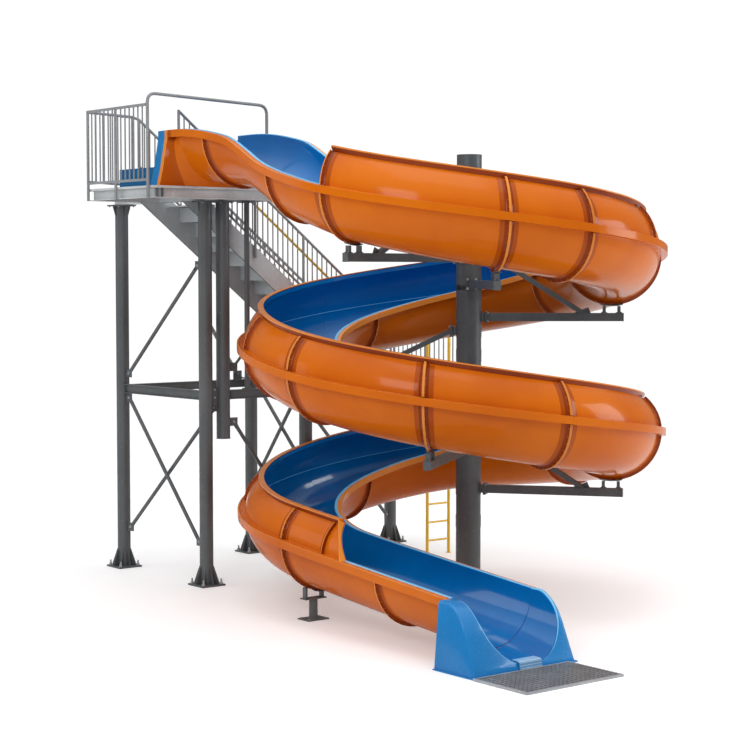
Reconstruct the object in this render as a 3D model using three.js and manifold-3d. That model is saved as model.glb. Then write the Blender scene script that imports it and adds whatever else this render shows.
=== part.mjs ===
// A spiral water slide with its stair tower: a two-turn flume round a central mast, an entry
// platform on columns, a stair with landing and ladder, a run-out and a drain grate.
// Units are millimetres, +Z up. The origin is the centre of the mast's foot on the ground.
import * as THREE from "three";
import { mergeVertices } from "three/addons/utils/BufferGeometryUtils.js";
import Module from "manifold-3d";

const wasm = await Module();
wasm.setup();

// Shared
const GAP = 0.3;
const DEG = Math.PI / 180;

// Flume
const SLIDE_X = -170;
const SLIDE_Y = 140;
const PATH_RADIUS = 1965;
const ENTRY_ANGLE = 180;
const EXIT_ANGLE = 900;
const SHELL_OUTER = 560;
const SHELL_THICKNESS = 20;
const RIB_DEPTH = 45;
const RIB_ANGLE = 1;
const FACET_ANGLE = 26;
const FACETS_UP_TO_RIM = 3.5;
const WALL_FACETS = 2;
const RIM_OUT = 45;
const RIM_HALF = 35;
const BAND_OUT = 75;
const BAND_HALF = 45;
const LIP_HEIGHT = 35;
const SKIRT_OUT = [640, 690, 750];
const SKIRT_UP = [-210, -430];
const STATION_STEP = 12;

// Path angle in degrees and height of the outer mid flange, from the entry to the run-out.
// Each whole turn is 360 degrees. The straight ends count in the same angle, along their length.
const FLANGE_HEIGHTS = [
  [100, 5715],
  [125, 5705],
  [141, 5626],
  [150, 5550],
  [159, 5400],
  [168, 5240],
  [182, 5085],
  [194.5, 4950],
  [312.5, 4278],
  [505.7, 3128],
  [542.8, 2865],
  [582.4, 2620],
  [620.5, 2393],
  [672.5, 2104],
  [732, 1815],
  [769, 1690],
  [790, 1567],
  [802, 1490],
  [834, 1288],
  [865.7, 1100],
  [900, 935],
  [935, 815],
  [986, 656],
];
const ENTRY_START = 106.9;
const SKIRT_END = 116;
const DEEP_END = 131;
const NORMAL_START = 182;
const WALL_START = 194.5;
const WALL_END = 934;
const WALL_LEAN = 10;
const WALL_SINK = 0.15;
const WALL_SINK_START = 470;
const ENTRY_RIBS = [133.5, 171.5];
const TURN_JOINTS = [194.5, 267.3, 321.5, 402, 451.5, 542.8, 620.5, 668.5, 762, 816.5, 900.2];
const TURN_RIBS = [243.7, 361, 515, 582.4, 715, 856];
const WALL_RIBS = [298.5];
const EXIT_RIB = 950.1;

// Run-out block
const RUNOUT_X = -2070;
const RUNOUT_WIDTH = 1390;
const RUNOUT_START = -2950;
const RUNOUT_END = -3560;
const RUNOUT_TOP = 690;
const RUNOUT_DRAFT = [60, 15];
const RUNOUT_FLOOR = 45;
const PLINTH = 12;
const PLINTH_OUT = 25;
// The front's side view: distance from the start and height, down to the plinth at the end.
const RUNOUT_FRONT = [
  [110, 690], [170, 678], [225, 652], [285, 612], [340, 560], [395, 488], [445, 398],
];
const CHANNEL_SIDES = 18;
const CHANNEL_LEAD = 100;
const CHANNEL_TAIL = 200;

// Drain grate
const GRATE_SHIFT = -75;
const GRATE_WIDTH = 1320;
const GRATE_LENGTH = 780;
const GRATE_HEIGHT = 25;
const GRATE_BORDER = 30;
const GRATE_SLOTS = 12;
const GRATE_BAR_INSET = 2;

// Mast and arms
const MAST_RADIUS = 152;
const MAST_HEIGHT = 5450;
const MAST_SIDES = 24;
const MAST_PLATE = 620;
const MAST_PLATE_THICK = 30;
const MAST_GUSSET_HEIGHT = 300;
const PAD_OUT = 55;
const PAD_HALF = 70;
const PAD_PLATE = 18;
const PAD_ROOT = 40;
const ARM_WIDTH = 80;
const ARM_DEPTH = 100;
const STRUT = 60;
const STRUT_RISE = 780;
const STRUT_REACH = 0.8;
const ARM_OVERHANG = 145;
const SADDLE_SPREAD = 90;
const SADDLE_HALF = 140;
const SADDLE_PLATE = 14;
const SADDLE_WIDTH = 90;
const SADDLE_LEG = 34;
const SADDLE_LEG_DEPTH = 60;
const SADDLE_LEG_ROOT = 10;
const SADDLE_GAP = 75;
const SADDLE_ANGLE = 2;
const STRUT_START = 2;

// Short post: half its foot along X and along Y, and half its tube, shelf and legs
const POST_SHIFT = 140;
const POST_FOOT = [150, 110];
const POST_PLATE = 14;
const POST_TUBE_HALF = 50;
const POST_SHELF = [130, 60];
const POST_SHELF_DROP = 55;

// Platform
const DECK_TOP = 5080;
const DECK_PLATE = 20;
const CHANNEL_DEPTH = 130;
const CHANNEL_WIDTH = 60;
const CHANNEL_WEB = 10;
const WEB_INSET = 1;
const DECK_X0 = -3070;
const DECK_X1 = -1170;
const DECK_Y0 = 2310;
const DECK_Y1 = 3870;
const STAIR_X = -1930;
const STAIR_Y0 = 3010;
const TRIMMER_Y = 2960;
const BEAM_X = -2000;
const HEADER_WIDTH = 100;

// Columns
const COLUMN_RADIUS = 88;
const COLUMN_SIDES = 20;
const BASE_HALF = 175;
const BASE_PLATE = 22;
const GUSSET_HEIGHT = 230;
const GUSSET_THICK = 14;
const GUSSET_TOE = 25;
const GUSSET_INSET = 12;
const GUSSET_TIP = 4;
const CAP_HALF = 118;
const REAR_CAP_HALF = 143;
const CAP_PLATE = 18;
const CAP_GUSSET = 150;
const CAP_TOE = 20;
const CAP_INSET = 10;
const SHORT_CAP_HALF = 110;
const SHORT_CAP_LAP = 6;
const SHORT_CAP_RISE = 10;
const FRONT_ROW_Y = 2840;
const REAR_ROW_Y = 4810;
const LEFT_X = -1975;
const LEFT_REAR_X = -2025;
const HANGING_X = -1707;
const HANGING_FOOT = 1880;
const HANGING_LAP = 5;
const HANGING_CAP_LEFT = 100;
const HANGING_CAP_RIGHT = 110;
const HANGER_X = -1330;
const HANGER_RADIUS = 35;
const HANGER_SIDES = 12;
const HANGER_PLATE = 12;
const HANGER_PLATE_HALF = 60;
const HANGER_FOOT_HALF = 38;
const CAP_END_Y = TRIMMER_Y - 10;
const JOINT_PLATE = 16;
const JOINT_RISE = 40;
const RIGHT_FRONT_X = -390;
const RIGHT_REAR_X = 90;
const LANDING_COLUMN_X = 2270;
const LANDING_COLUMN_Y = 4335;
const MID_TOP = 2505;
const MID_DEPTH = 120;
const MID_WIDTH = 80;
const REAR_BEAM_DROP = 10;
const BRACE_RADIUS = 25;
const BRACE_SIDES = 8;
const LUG_LENGTH = 130;
const LUG_HALF = 55;
const LUG_THICK = 16;
const BRACE_SIDE_GAP = 2;

// Heights of each brace's two ends, in the order of its columns
const LEFT_UPPER = [2655, 4110];
const LEFT_LOWER = [2325, 545];
const RIGHT_FALLING = [2440, 1440];
const RIGHT_RISING = [2440, 1000];
const LANDING_BRACE = [430, 2150];
const FRONT_LOW = [2090, 690];
const CROSS_FOOT = 560;
const CROSS_PLATE_WIDTH = 90;
const CROSS_PLATE_DEPTH = 150;
const CROSS_DROP = 100;
const ACROSS_FOOT = 3400;
const ACROSS_HEAD_X = -150;
const ACROSS_HEAD_RISE = 80;
const ACROSS_PLATE = [-215, -75];
const ACROSS_PLATE_RISE = 125;
const KNEE_RADIUS = 20;
const KNEE_FOOT = 2810;
const KNEE_LUG = 2800;
const KNEE_HEAD = 2960;
const KNEE_PLATE_WIDTH = 70;
const KNEE_PLATE_HALF = 50;

// Stair and landing
const RISERS = 14;
const GOING = 240;
const LANDING_TOP = 2400;
const STAIR_WIDTH = 860;
const NEAR_STRINGER_DEPTH = 250;
const FAR_STRINGER_DEPTH = 315;
const STRINGER_THICK = 30;
const TREAD_THICK = 22;
const TREAD_LAP = 5;
const TOP_TREAD_LAP = 40;
const STRINGER_DROP = 45;
const LANDING_LENGTH = 1250;
const LANDING_WIDTH = 1480;
const LANDING_DEPTH = 140;

// Guards
const GUARD_TOP = 978;
const GUARD_BOTTOM = 70;
const GUARD_INSET = 20;
const LEFT_GUARD_INSET = 30;
const REAR_GUARD_INSET = 10;
const MIDDLE_POST = 0.52;
const RAIL_RADIUS = 18;
const HOOP_RADIUS = 20;
const BALUSTER_RADIUS = 9;
const BALUSTER_STEP = 104;
const STAIR_BALUSTER_STEP = 80;
const LOW_RAIL = 32;
const POST_SIDES = 8;
const BALUSTER_SIDES = 4;
const POST_CLEARANCE = 0.45;
const FOOT_PLATE = 55;
const REAR_GUARD_END = -2400;
const REAR_GUARD_DROP = 25;
const FAR_GUARD_X = -2300;
const FAR_GUARD_TOP = 625;
const NEAR_GUARD_X = -2262;
const NEAR_GUARD_TOP = 715;
const STAIR_GUARD_BOTTOM = 22;
const STAIR_POST_FOOT = 200;
const STAIR_POST_SPAN = 780;
const STAIR_END_INSET = 60;
const HOOP_TOP = 6195;
const HOOP_FAR_TOP = 6132;
const HOOP_FAR_X = -1325;
const HOOP_Y = 2390;
const HOOP_CORNER = 120;
const HOOP_BEND_STEPS = 4;
const HOOP_SIDES = 10;
const HOOP_PLATE = 12;
const HANDRAIL_RADIUS = 17;
const HANDRAIL_DROP = 182;
const HANDRAIL_OFFSET = 75;
const HANDRAIL_SIDES = 8;
const HANDRAIL_BRACKET = 8;
const HANDRAIL_BRACKET_SIDES = 6;

// Ladder
const LADDER_X = 1860;
const LADDER_WIDTH = 400;
const LADDER_RADIUS = 22;
const LADDER_SIDES = 8;
const FIRST_RUNG = 205;
const RUNG_STEP = 260;
const RUNG_RADIUS = 14;
const RUNG_SIDES = 6;
const LADDER_TOP = 3350;

// Start tub
const TUB_HEIGHT = 250;
const TUB_WALL = 25;
const TUB_REAR_Y = 3680;
const TUB_NARROW_X = -2340;
const CHEEK_LENGTH = 130;
const CHEEK_SHOULDER = [60, 20];
const TUB_WIDE_LENGTH = 120;
const TUB_TAPER_END = 200;

// Materials
const finish = (color, roughness, metalness) =>
  new THREE.MeshStandardMaterial({ color, roughness, metalness });
const orange = finish(0xe0701a, 0.25, 0);
const blue = finish(0x1668b0, 0.25, 0);
const steel = finish(0x5c6164, 0.5, 0.3);
const yellow = finish(0xe8b81c, 0.4, 0.1);
const galvanised = finish(0x8d9295, 0.45, 0.6);

const tower = new THREE.Group();
const slide = new THREE.Group();
slide.position.set(SLIDE_X, SLIDE_Y, 0);
tower.add(slide);

function addPart(parent, name, geometry, material) {
  const mesh = new THREE.Mesh(geometry, material);
  mesh.name = name;
  parent.add(mesh);
  return mesh;
}

// Solids and joins
function solidOf(geometry) {
  const bare = geometry.index ? geometry.toNonIndexed() : geometry.clone();
  bare.deleteAttribute("normal");
  bare.deleteAttribute("uv");
  const merged = mergeVertices(bare, 1e-3);
  return new wasm.Manifold(
    new wasm.Mesh({
      numProp: 3,
      vertProperties: merged.attributes.position.array,
      triVerts: new Uint32Array(merged.index.array),
    }),
  );
}

function geometryOf(solid) {
  const mesh = solid.getMesh();
  const count = mesh.vertProperties.length / mesh.numProp;
  const positions = new Float32Array(count * 3);
  for (let i = 0; i < count; i += 1) {
    const start = i * mesh.numProp;
    positions.set(mesh.vertProperties.subarray(start, start + 3), i * 3);
  }
  const geometry = new THREE.BufferGeometry();
  geometry.setAttribute("position", new THREE.BufferAttribute(positions, 3));
  geometry.setIndex(new THREE.BufferAttribute(new Uint32Array(mesh.triVerts), 1));
  return geometry;
}

const join = (pieces) => geometryOf(pieces.map(solidOf).reduce((a, b) => a.add(b)));
const cut = (body, tool) => geometryOf(solidOf(body).subtract(solidOf(tool)));

// Simple pieces
function box(x0, x1, y0, y1, z0, z1) {
  const geometry = new THREE.BoxGeometry(x1 - x0, y1 - y0, z1 - z0);
  return geometry.translate((x0 + x1) / 2, (y0 + y1) / 2, (z0 + z1) / 2);
}

// A box centred on the Z axis, given by half its length and half its width.
const block = (halfX, halfY, z0, z1) => box(-halfX, halfX, -halfY, halfY, z0, z1);

function pillar(x, y, z0, z1, radius, sides) {
  const geometry = new THREE.CylinderGeometry(radius, radius, z1 - z0, sides);
  return geometry.rotateX(Math.PI / 2).translate(x, y, (z0 + z1) / 2);
}

function rod(from, to, radius, sides) {
  const along = to.clone().sub(from);
  const geometry = new THREE.CylinderGeometry(radius, radius, along.length(), sides);
  const turn = new THREE.Quaternion().setFromUnitVectors(
    new THREE.Vector3(0, 1, 0),
    along.clone().normalize(),
  );
  const middle = from.clone().add(to).multiplyScalar(0.5);
  return geometry.applyQuaternion(turn).translate(middle.x, middle.y, middle.z);
}

// A rectangular bar whose width stays level.
function bar(from, to, width, depth) {
  const along = to.clone().sub(from);
  const geometry = new THREE.BoxGeometry(along.length(), width, depth);
  const forward = along.clone().normalize();
  const side = new THREE.Vector3(-forward.y, forward.x, 0).normalize();
  const up = new THREE.Vector3().crossVectors(forward, side);
  geometry.applyMatrix4(new THREE.Matrix4().makeBasis(forward, side, up));
  const middle = from.clone().add(to).multiplyScalar(0.5);
  return geometry.translate(middle.x, middle.y, middle.z);
}

// An outline drawn in X and Z, thickened along Y from y0 to y1.
function profileXZ(points, y0, y1) {
  const shape = new THREE.Shape(points.map(([x, z]) => new THREE.Vector2(x, z)));
  const geometry = new THREE.ExtrudeGeometry(shape, { depth: y1 - y0, bevelEnabled: false });
  return geometry.rotateX(Math.PI / 2).translate(0, y1, 0);
}

// An outline drawn in Y and Z, thickened along X from x0 to x1.
function profileYZ(points, x0, x1) {
  const shape = new THREE.Shape(points.map(([y, z]) => new THREE.Vector2(y, z)));
  const geometry = new THREE.ExtrudeGeometry(shape, { depth: x1 - x0, bevelEnabled: false });
  return geometry.rotateX(Math.PI / 2).rotateZ(Math.PI / 2).translate(x0, 0, 0);
}

// An outline drawn in X and Y, thickened along Z from z0 to z1.
function profileXY(points, z0, z1) {
  const shape = new THREE.Shape(points.map(([x, y]) => new THREE.Vector2(x, y)));
  const geometry = new THREE.ExtrudeGeometry(shape, { depth: z1 - z0, bevelEnabled: false });
  return geometry.translate(0, 0, z0);
}

// A round tube that follows points in one plane, whose normal is given.
function bentRod(points, normal, radius, sides) {
  const circle = new THREE.Shape();
  circle.absarc(0, 0, radius, 0, 2 * Math.PI);
  const outline = circle.getSpacedPoints(sides).slice(0, sides);
  const geometry = new THREE.ExtrudeGeometry(new THREE.Shape(outline), {
    depth: 1,
    steps: points.length - 1,
    bevelEnabled: false,
  });
  const position = geometry.attributes.position;
  for (let i = 0; i < position.count; i += 1) {
    const k = Math.round(position.getZ(i) * (points.length - 1));
    const before = points[Math.max(k - 1, 0)];
    const after = points[Math.min(k + 1, points.length - 1)];
    const tangent = after.clone().sub(before).normalize();
    const side = new THREE.Vector3().crossVectors(tangent, normal);
    const v = points[k].clone();
    v.addScaledVector(normal, position.getX(i)).addScaledVector(side, position.getY(i));
    position.setXYZ(i, v.x, v.y, v.z);
  }
  return geometry;
}

// Corner points with each inner corner rounded.
function roundedPath(corners, radius, steps) {
  const points = [corners[0]];
  for (let i = 1; i < corners.length - 1; i += 1) {
    const toBefore = corners[i - 1].clone().sub(corners[i]).normalize();
    const toAfter = corners[i + 1].clone().sub(corners[i]).normalize();
    const bend = new THREE.QuadraticBezierCurve3(
      corners[i].clone().addScaledVector(toBefore, radius),
      corners[i],
      corners[i].clone().addScaledVector(toAfter, radius),
    );
    points.push(...bend.getPoints(steps));
  }
  points.push(corners[corners.length - 1]);
  return points;
}

const at = (x, y, z) => new THREE.Vector3(x, y, z);

// Flume path
function flangeHeight(angle) {
  const table = FLANGE_HEIGHTS;
  const last = table.length - 2;
  let i = 0;
  while (i < last && table[i + 1][0] < angle) i += 1;
  const slope = (k) => (table[k + 1][1] - table[k][1]) / (table[k + 1][0] - table[k][0]);
  const startSlope = i > 0 ? (slope(i - 1) + slope(i)) / 2 : slope(i);
  const endSlope = i < last ? (slope(i) + slope(i + 1)) / 2 : slope(i);
  const span = table[i + 1][0] - table[i][0];
  const t = (angle - table[i][0]) / span;
  const t2 = t * t;
  const t3 = t2 * t;
  return (
    (2 * t3 - 3 * t2 + 1) * table[i][1] +
    (t3 - 2 * t2 + t) * span * startSlope +
    (3 * t2 - 2 * t3) * table[i + 1][1] +
    (t3 - t2) * span * endSlope
  );
}

// A point beside the path: outward from the slide's centre, and up from the mid flange.
function besidePath(angle, outward, up) {
  const bend = Math.min(Math.max(angle, ENTRY_ANGLE), EXIT_ANGLE) * DEG;
  const straight = (angle * DEG - bend) * PATH_RADIUS;
  const reach = PATH_RADIUS + outward;
  return at(
    reach * Math.cos(bend) - straight * Math.sin(bend),
    reach * Math.sin(bend) + straight * Math.cos(bend),
    flangeHeight(angle) + up,
  );
}

// Depth of the trough against its normal depth: deeper on the platform, where the first rib
// rests on the deck.
const entryDepth =
  (flangeHeight(ENTRY_START + RIB_ANGLE) - DECK_TOP - GAP) / (SHELL_OUTER + RIB_DEPTH);

function troughDepth(angle) {
  const t = (angle - DEEP_END) / (NORMAL_START - DEEP_END);
  return entryDepth + (1 - entryDepth) * Math.min(Math.max(t, 0), 1);
}

// Flume section: facets lie outside the circle, and one facet is level at the bottom.
const facetStretch = 1 / Math.cos((FACET_ANGLE / 2) * DEG);
const outerCorner = SHELL_OUTER * facetStretch;
const innerCorner = (SHELL_OUTER - SHELL_THICKNESS) * facetStretch;

function corner(radius, index) {
  const angle = (270 + FACET_ANGLE * (index - FACETS_UP_TO_RIM)) * DEG;
  return new THREE.Vector2(radius * Math.cos(angle), radius * Math.sin(angle));
}

// Where the facet between two outer corners crosses a height.
function facetAt(index, height) {
  const a = corner(outerCorner, index);
  const b = corner(outerCorner, index + 1);
  return a.lerp(b, (height - a.y) / (b.y - a.y));
}

function flumeSection(wallFacets) {
  const rimCorner = 2 * FACETS_UP_TO_RIM;
  const innerRim = corner(innerCorner, 0);
  const innerEdge = -innerRim.x;
  const points = [
    new THREE.Vector2(innerRim.x, RIM_HALF),
    new THREE.Vector2(-outerCorner - RIM_OUT, RIM_HALF),
    new THREE.Vector2(-outerCorner - RIM_OUT, -RIM_HALF),
    facetAt(0, -RIM_HALF),
  ];
  for (let i = 1; i < rimCorner; i += 1) points.push(corner(outerCorner, i));
  points.push(
    facetAt(rimCorner - 1, -BAND_HALF),
    new THREE.Vector2(outerCorner + BAND_OUT, -BAND_HALF),
    new THREE.Vector2(outerCorner + BAND_OUT, BAND_HALF),
  );
  if (wallFacets > 0) {
    const top = corner(outerCorner, rimCorner + wallFacets);
    const innerTop = corner(innerCorner, rimCorner + wallFacets);
    points.push(facetAt(rimCorner, BAND_HALF));
    for (let i = 1; i < wallFacets; i += 1) points.push(corner(outerCorner, rimCorner + i));
    points.push(
      top,
      new THREE.Vector2(top.x + RIM_OUT, top.y),
      new THREE.Vector2(top.x + RIM_OUT, top.y + LIP_HEIGHT),
      new THREE.Vector2(innerTop.x, top.y + LIP_HEIGHT),
    );
  } else {
    points.push(new THREE.Vector2(innerEdge, BAND_HALF));
  }
  for (let i = rimCorner + wallFacets; i >= 0; i -= 1) points.push(corner(innerCorner, i));
  return new THREE.Shape(points);
}

// Path angles of a piece's cross-sections, with a rib at each end and at each given angle. The
// wall ribs stand on the wall alone.
function flumeStations(from, to, ribs, wallRibs) {
  const edge = RIB_ANGLE / 10;
  const stations = [
    { angle: from, rib: true },
    { angle: from + RIB_ANGLE, rib: true },
    { angle: from + RIB_ANGLE + edge, rib: false },
    { angle: to - RIB_ANGLE - edge, rib: false },
    { angle: to - RIB_ANGLE, rib: true },
    { angle: to, rib: true },
  ];
  for (const rib of [...ribs, ...wallRibs]) {
    const wallOnly = wallRibs.includes(rib);
    stations.push(
      { angle: rib - RIB_ANGLE - edge, rib: false },
      { angle: rib - RIB_ANGLE, rib: true, wallOnly },
      { angle: rib + RIB_ANGLE, rib: true, wallOnly },
      { angle: rib + RIB_ANGLE + edge, rib: false },
    );
  }
  stations.sort((a, b) => a.angle - b.angle);
  const filled = [];
  stations.forEach((station, i) => {
    filled.push(station);
    const next = stations[i + 1];
    if (!next || station.rib) return;
    const steps = Math.ceil((next.angle - station.angle) / STATION_STEP);
    for (let k = 1; k < steps; k += 1) {
      const angle = station.angle + ((next.angle - station.angle) * k) / steps;
      filled.push({ angle, rib: false });
    }
  });
  return filled;
}

// Outer corners of the entry on the platform, moved out to a skirt that stands on the deck.
function skirted(index, angle, outward, up) {
  const t = (SKIRT_END - angle) / (SKIRT_END - ENTRY_START);
  if (t < 0) return [outward, up];
  const side = index < FACETS_UP_TO_RIM ? -1 : 1;
  const step = side < 0 ? index - 1 : 2 * FACETS_UP_TO_RIM - 1 - index;
  const standsOnDeck = step === SKIRT_UP.length;
  const toUp = standsOnDeck ? DECK_TOP + GAP - flangeHeight(angle) : SKIRT_UP[step];
  const drop = standsOnDeck ? 1 : t;
  return [outward + (side * SKIRT_OUT[step] - outward) * t, up + (toUp - up) * drop];
}

// Height of the wall against its full height: it sinks slowly along the last turn and a half.
function wallHeight(angle) {
  const t = (angle - WALL_SINK_START) / (EXIT_ANGLE - WALL_SINK_START);
  return 1 - WALL_SINK * Math.min(Math.max(t, 0), 1);
}

// The flume section carried along the path. The wall's end may lean back by an angle at its top.
function flume(from, to, wallFacets, ribs, wallRibs = [], lean = 0) {
  const stations = flumeStations(from, to, ribs, wallRibs);
  const steps = stations.length - 1;
  const geometry = new THREE.ExtrudeGeometry(flumeSection(wallFacets), {
    depth: 1,
    steps,
    bevelEnabled: false,
  });
  const position = geometry.attributes.position;
  const ribStretch = (outerCorner + RIB_DEPTH * facetStretch) / outerCorner;
  const wallTop = corner(outerCorner, 2 * FACETS_UP_TO_RIM + WALL_FACETS).y + LIP_HEIGHT;
  for (let i = 0; i < position.count; i += 1) {
    const station = stations[steps - Math.round(position.getZ(i) * steps)];
    let outward = position.getX(i);
    let up = position.getY(i);
    const onShell = Math.abs(Math.hypot(outward, up) - outerCorner) < 1;
    const index = Math.round((Math.atan2(up, outward) / DEG + 90) / FACET_ANGLE + FACETS_UP_TO_RIM);
    const onSkirt = station.angle < SKIRT_END && onShell && up < -RIM_HALF;
    const onRib = station.rib && (!station.wallOnly || up > 0);
    if (onRib && onShell && !onSkirt) {
      outward *= ribStretch;
      up *= ribStretch;
    }
    if (up < -BAND_HALF) up *= troughDepth(station.angle);
    if (onSkirt) [outward, up] = skirted(index, station.angle, outward, up);
    const climb = Math.max(up - BAND_HALF, 0) / (wallTop - BAND_HALF);
    if (climb > 0) up = BAND_HALF + (up - BAND_HALF) * wallHeight(station.angle);
    const angle = station.angle - (lean * climb * (station.angle - from)) / (to - from);
    const v = besidePath(angle, outward, up);
    position.setXYZ(i, v.x, v.y, v.z);
  }
  return geometry;
}

// Height of the level underside at its lower end, under a rib or under the plain shell.
function undersideAt(angle, underRib) {
  const depth = (SHELL_OUTER + (underRib ? RIB_DEPTH : 0)) * troughDepth(angle);
  const reach = underRib ? RIB_ANGLE : SADDLE_ANGLE;
  return Math.min(flangeHeight(angle + reach), flangeHeight(angle - reach)) - depth;
}

const gapAngle = GAP / PATH_RADIUS / DEG;
const exitEnd = EXIT_ANGLE - RUNOUT_START / PATH_RADIUS / DEG - gapAngle;

function addFlume() {
  const entryEnd = WALL_START - gapAngle;
  addPart(slide, "entry_flume", flume(ENTRY_START, entryEnd, 0, ENTRY_RIBS), orange);
  for (let i = 0; i + 1 < TURN_JOINTS.length; i += 1) {
    const from = TURN_JOINTS[i];
    const to = TURN_JOINTS[i + 1] - gapAngle;
    const within = (angle) => angle > from && angle < to;
    const section = flume(
      from, to, WALL_FACETS, TURN_RIBS.filter(within), WALL_RIBS.filter(within),
    );
    addPart(slide, "turn_section_" + (i + 1), section, orange);
  }
  const lastJoint = TURN_JOINTS[TURN_JOINTS.length - 1];
  const walled = flume(lastJoint, WALL_END - gapAngle, WALL_FACETS, [], [], WALL_LEAN);
  addPart(slide, "exit_section_walled", walled, orange);
  addPart(slide, "exit_section_open", flume(WALL_END, exitEnd, 0, [EXIT_RIB]), orange);
}

// Run-out
function addRunOut() {
  const x0 = RUNOUT_X - RUNOUT_WIDTH / 2;
  const x1 = RUNOUT_X + RUNOUT_WIDTH / 2;
  const side = [
    [RUNOUT_START, 0],
    [RUNOUT_START, RUNOUT_TOP],
    ...RUNOUT_FRONT.map(([along, z]) => [RUNOUT_START - along, z]),
    [RUNOUT_END, PLINTH],
    [RUNOUT_END, 0],
  ];
  const hull = profileYZ(side.reverse(), x0, x1);
  const corners = hull.attributes.position;
  for (let i = 0; i < corners.count; i += 1) {
    const onLeft = corners.getX(i) < RUNOUT_X;
    const inset = (RUNOUT_DRAFT[onLeft ? 0 : 1] * corners.getZ(i)) / RUNOUT_TOP;
    corners.setX(i, corners.getX(i) + (onLeft ? inset : -inset));
  }
  const body = join([
    hull,
    box(
      x0 - PLINTH_OUT, x1 + PLINTH_OUT, RUNOUT_END - PLINTH_OUT, RUNOUT_START, 0, PLINTH,
    ),
  ]);
  const inner = SHELL_OUTER - SHELL_THICKNESS;
  const floorStart = flangeHeight(exitEnd) - inner;
  const channel = new THREE.CylinderGeometry(inner, inner, 1, CHANNEL_SIDES);
  channel.rotateY(Math.PI / CHANNEL_SIDES);
  const position = channel.attributes.position;
  const y0 = RUNOUT_START + CHANNEL_LEAD;
  const y1 = RUNOUT_END - CHANNEL_TAIL;
  for (let i = 0; i < position.count; i += 1) {
    const atEnd = position.getY(i) < 0;
    const floor = atEnd ? RUNOUT_FLOOR : floorStart;
    const x = position.getX(i) - PATH_RADIUS;
    position.setXYZ(i, x, atEnd ? y1 : y0, floor + inner + position.getZ(i));
  }
  addPart(slide, "run_out", cut(body, channel), blue);
}

function addGrate() {
  const x0 = RUNOUT_X + GRATE_SHIFT - GRATE_WIDTH / 2;
  const x1 = x0 + GRATE_WIDTH;
  const y1 = RUNOUT_END - PLINTH_OUT - GAP;
  const y0 = y1 - GRATE_LENGTH;
  const b = GRATE_BORDER;
  const pieces = [
    box(x0, x1, y0, y0 + b, 0, GRATE_HEIGHT),
    box(x0, x1, y1 - b, y1, 0, GRATE_HEIGHT),
    box(x0, x0 + b, y0, y1, 0, GRATE_HEIGHT),
    box(x1 - b, x1, y0, y1, 0, GRATE_HEIGHT),
  ];
  const pitch = (GRATE_WIDTH - b) / GRATE_SLOTS;
  for (let i = 1; i < GRATE_SLOTS; i += 1) {
    const left = x0 + pitch * i;
    pieces.push(
      box(left, left + b, y0 + b / 2, y1 - b / 2, GRATE_BAR_INSET, GRATE_HEIGHT - GRATE_BAR_INSET),
    );
  }
  addPart(slide, "drain_grate", join(pieces), galvanised);
}

// Column feet and heads
function baseGussets(x, y, radius, half, height) {
  const plates = [];
  const reach = half - GUSSET_INSET;
  const outline = [
    [0, BASE_PLATE / 2],
    [reach, BASE_PLATE / 2],
    [reach, BASE_PLATE + GUSSET_TOE],
    [radius + GUSSET_TIP, BASE_PLATE + height],
    [0, BASE_PLATE + height],
  ];
  for (let k = 0; k < 4; k += 1) {
    const plate = profileXZ(outline, -GUSSET_THICK / 2, GUSSET_THICK / 2);
    plates.push(plate.rotateZ((k * Math.PI) / 2).translate(x, y, 0));
  }
  return plates;
}

function columnPieces(x, y, z1, radius = COLUMN_RADIUS, half = BASE_HALF) {
  return [
    box(x - half, x + half, y - half, y + half, 0, BASE_PLATE),
    pillar(x, y, BASE_PLATE / 2, z1, radius, COLUMN_SIDES),
    ...baseGussets(x, y, radius, half, GUSSET_HEIGHT),
  ];
}

function capPieces(x, y, top, half = CAP_HALF) {
  const pieces = [box(x - half, x + half, y - half, y + half, top - CAP_PLATE, top)];
  const outline = [
    [0, top - CAP_PLATE / 2],
    [half - CAP_INSET, top - CAP_PLATE / 2],
    [half - CAP_INSET, top - CAP_PLATE - CAP_TOE],
    [COLUMN_RADIUS + GUSSET_TIP, top - CAP_PLATE - CAP_GUSSET],
    [0, top - CAP_PLATE - CAP_GUSSET],
  ];
  for (let k = 0; k < 4; k += 1) {
    const plate = profileXZ([...outline].reverse(), -GUSSET_THICK / 2, GUSSET_THICK / 2);
    pieces.push(plate.rotateZ((k * Math.PI) / 2).translate(x, y, 0));
  }
  return pieces;
}

const deckUnder = DECK_TOP - DECK_PLATE - CHANNEL_DEPTH;

// An upright plate in the plane of a row of columns.
const jointPlate = (x0, x1, rowY, z0, z1) =>
  box(x0, x1, rowY - JOINT_PLATE / 2, rowY + JOINT_PLATE / 2, z0, z1);

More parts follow.
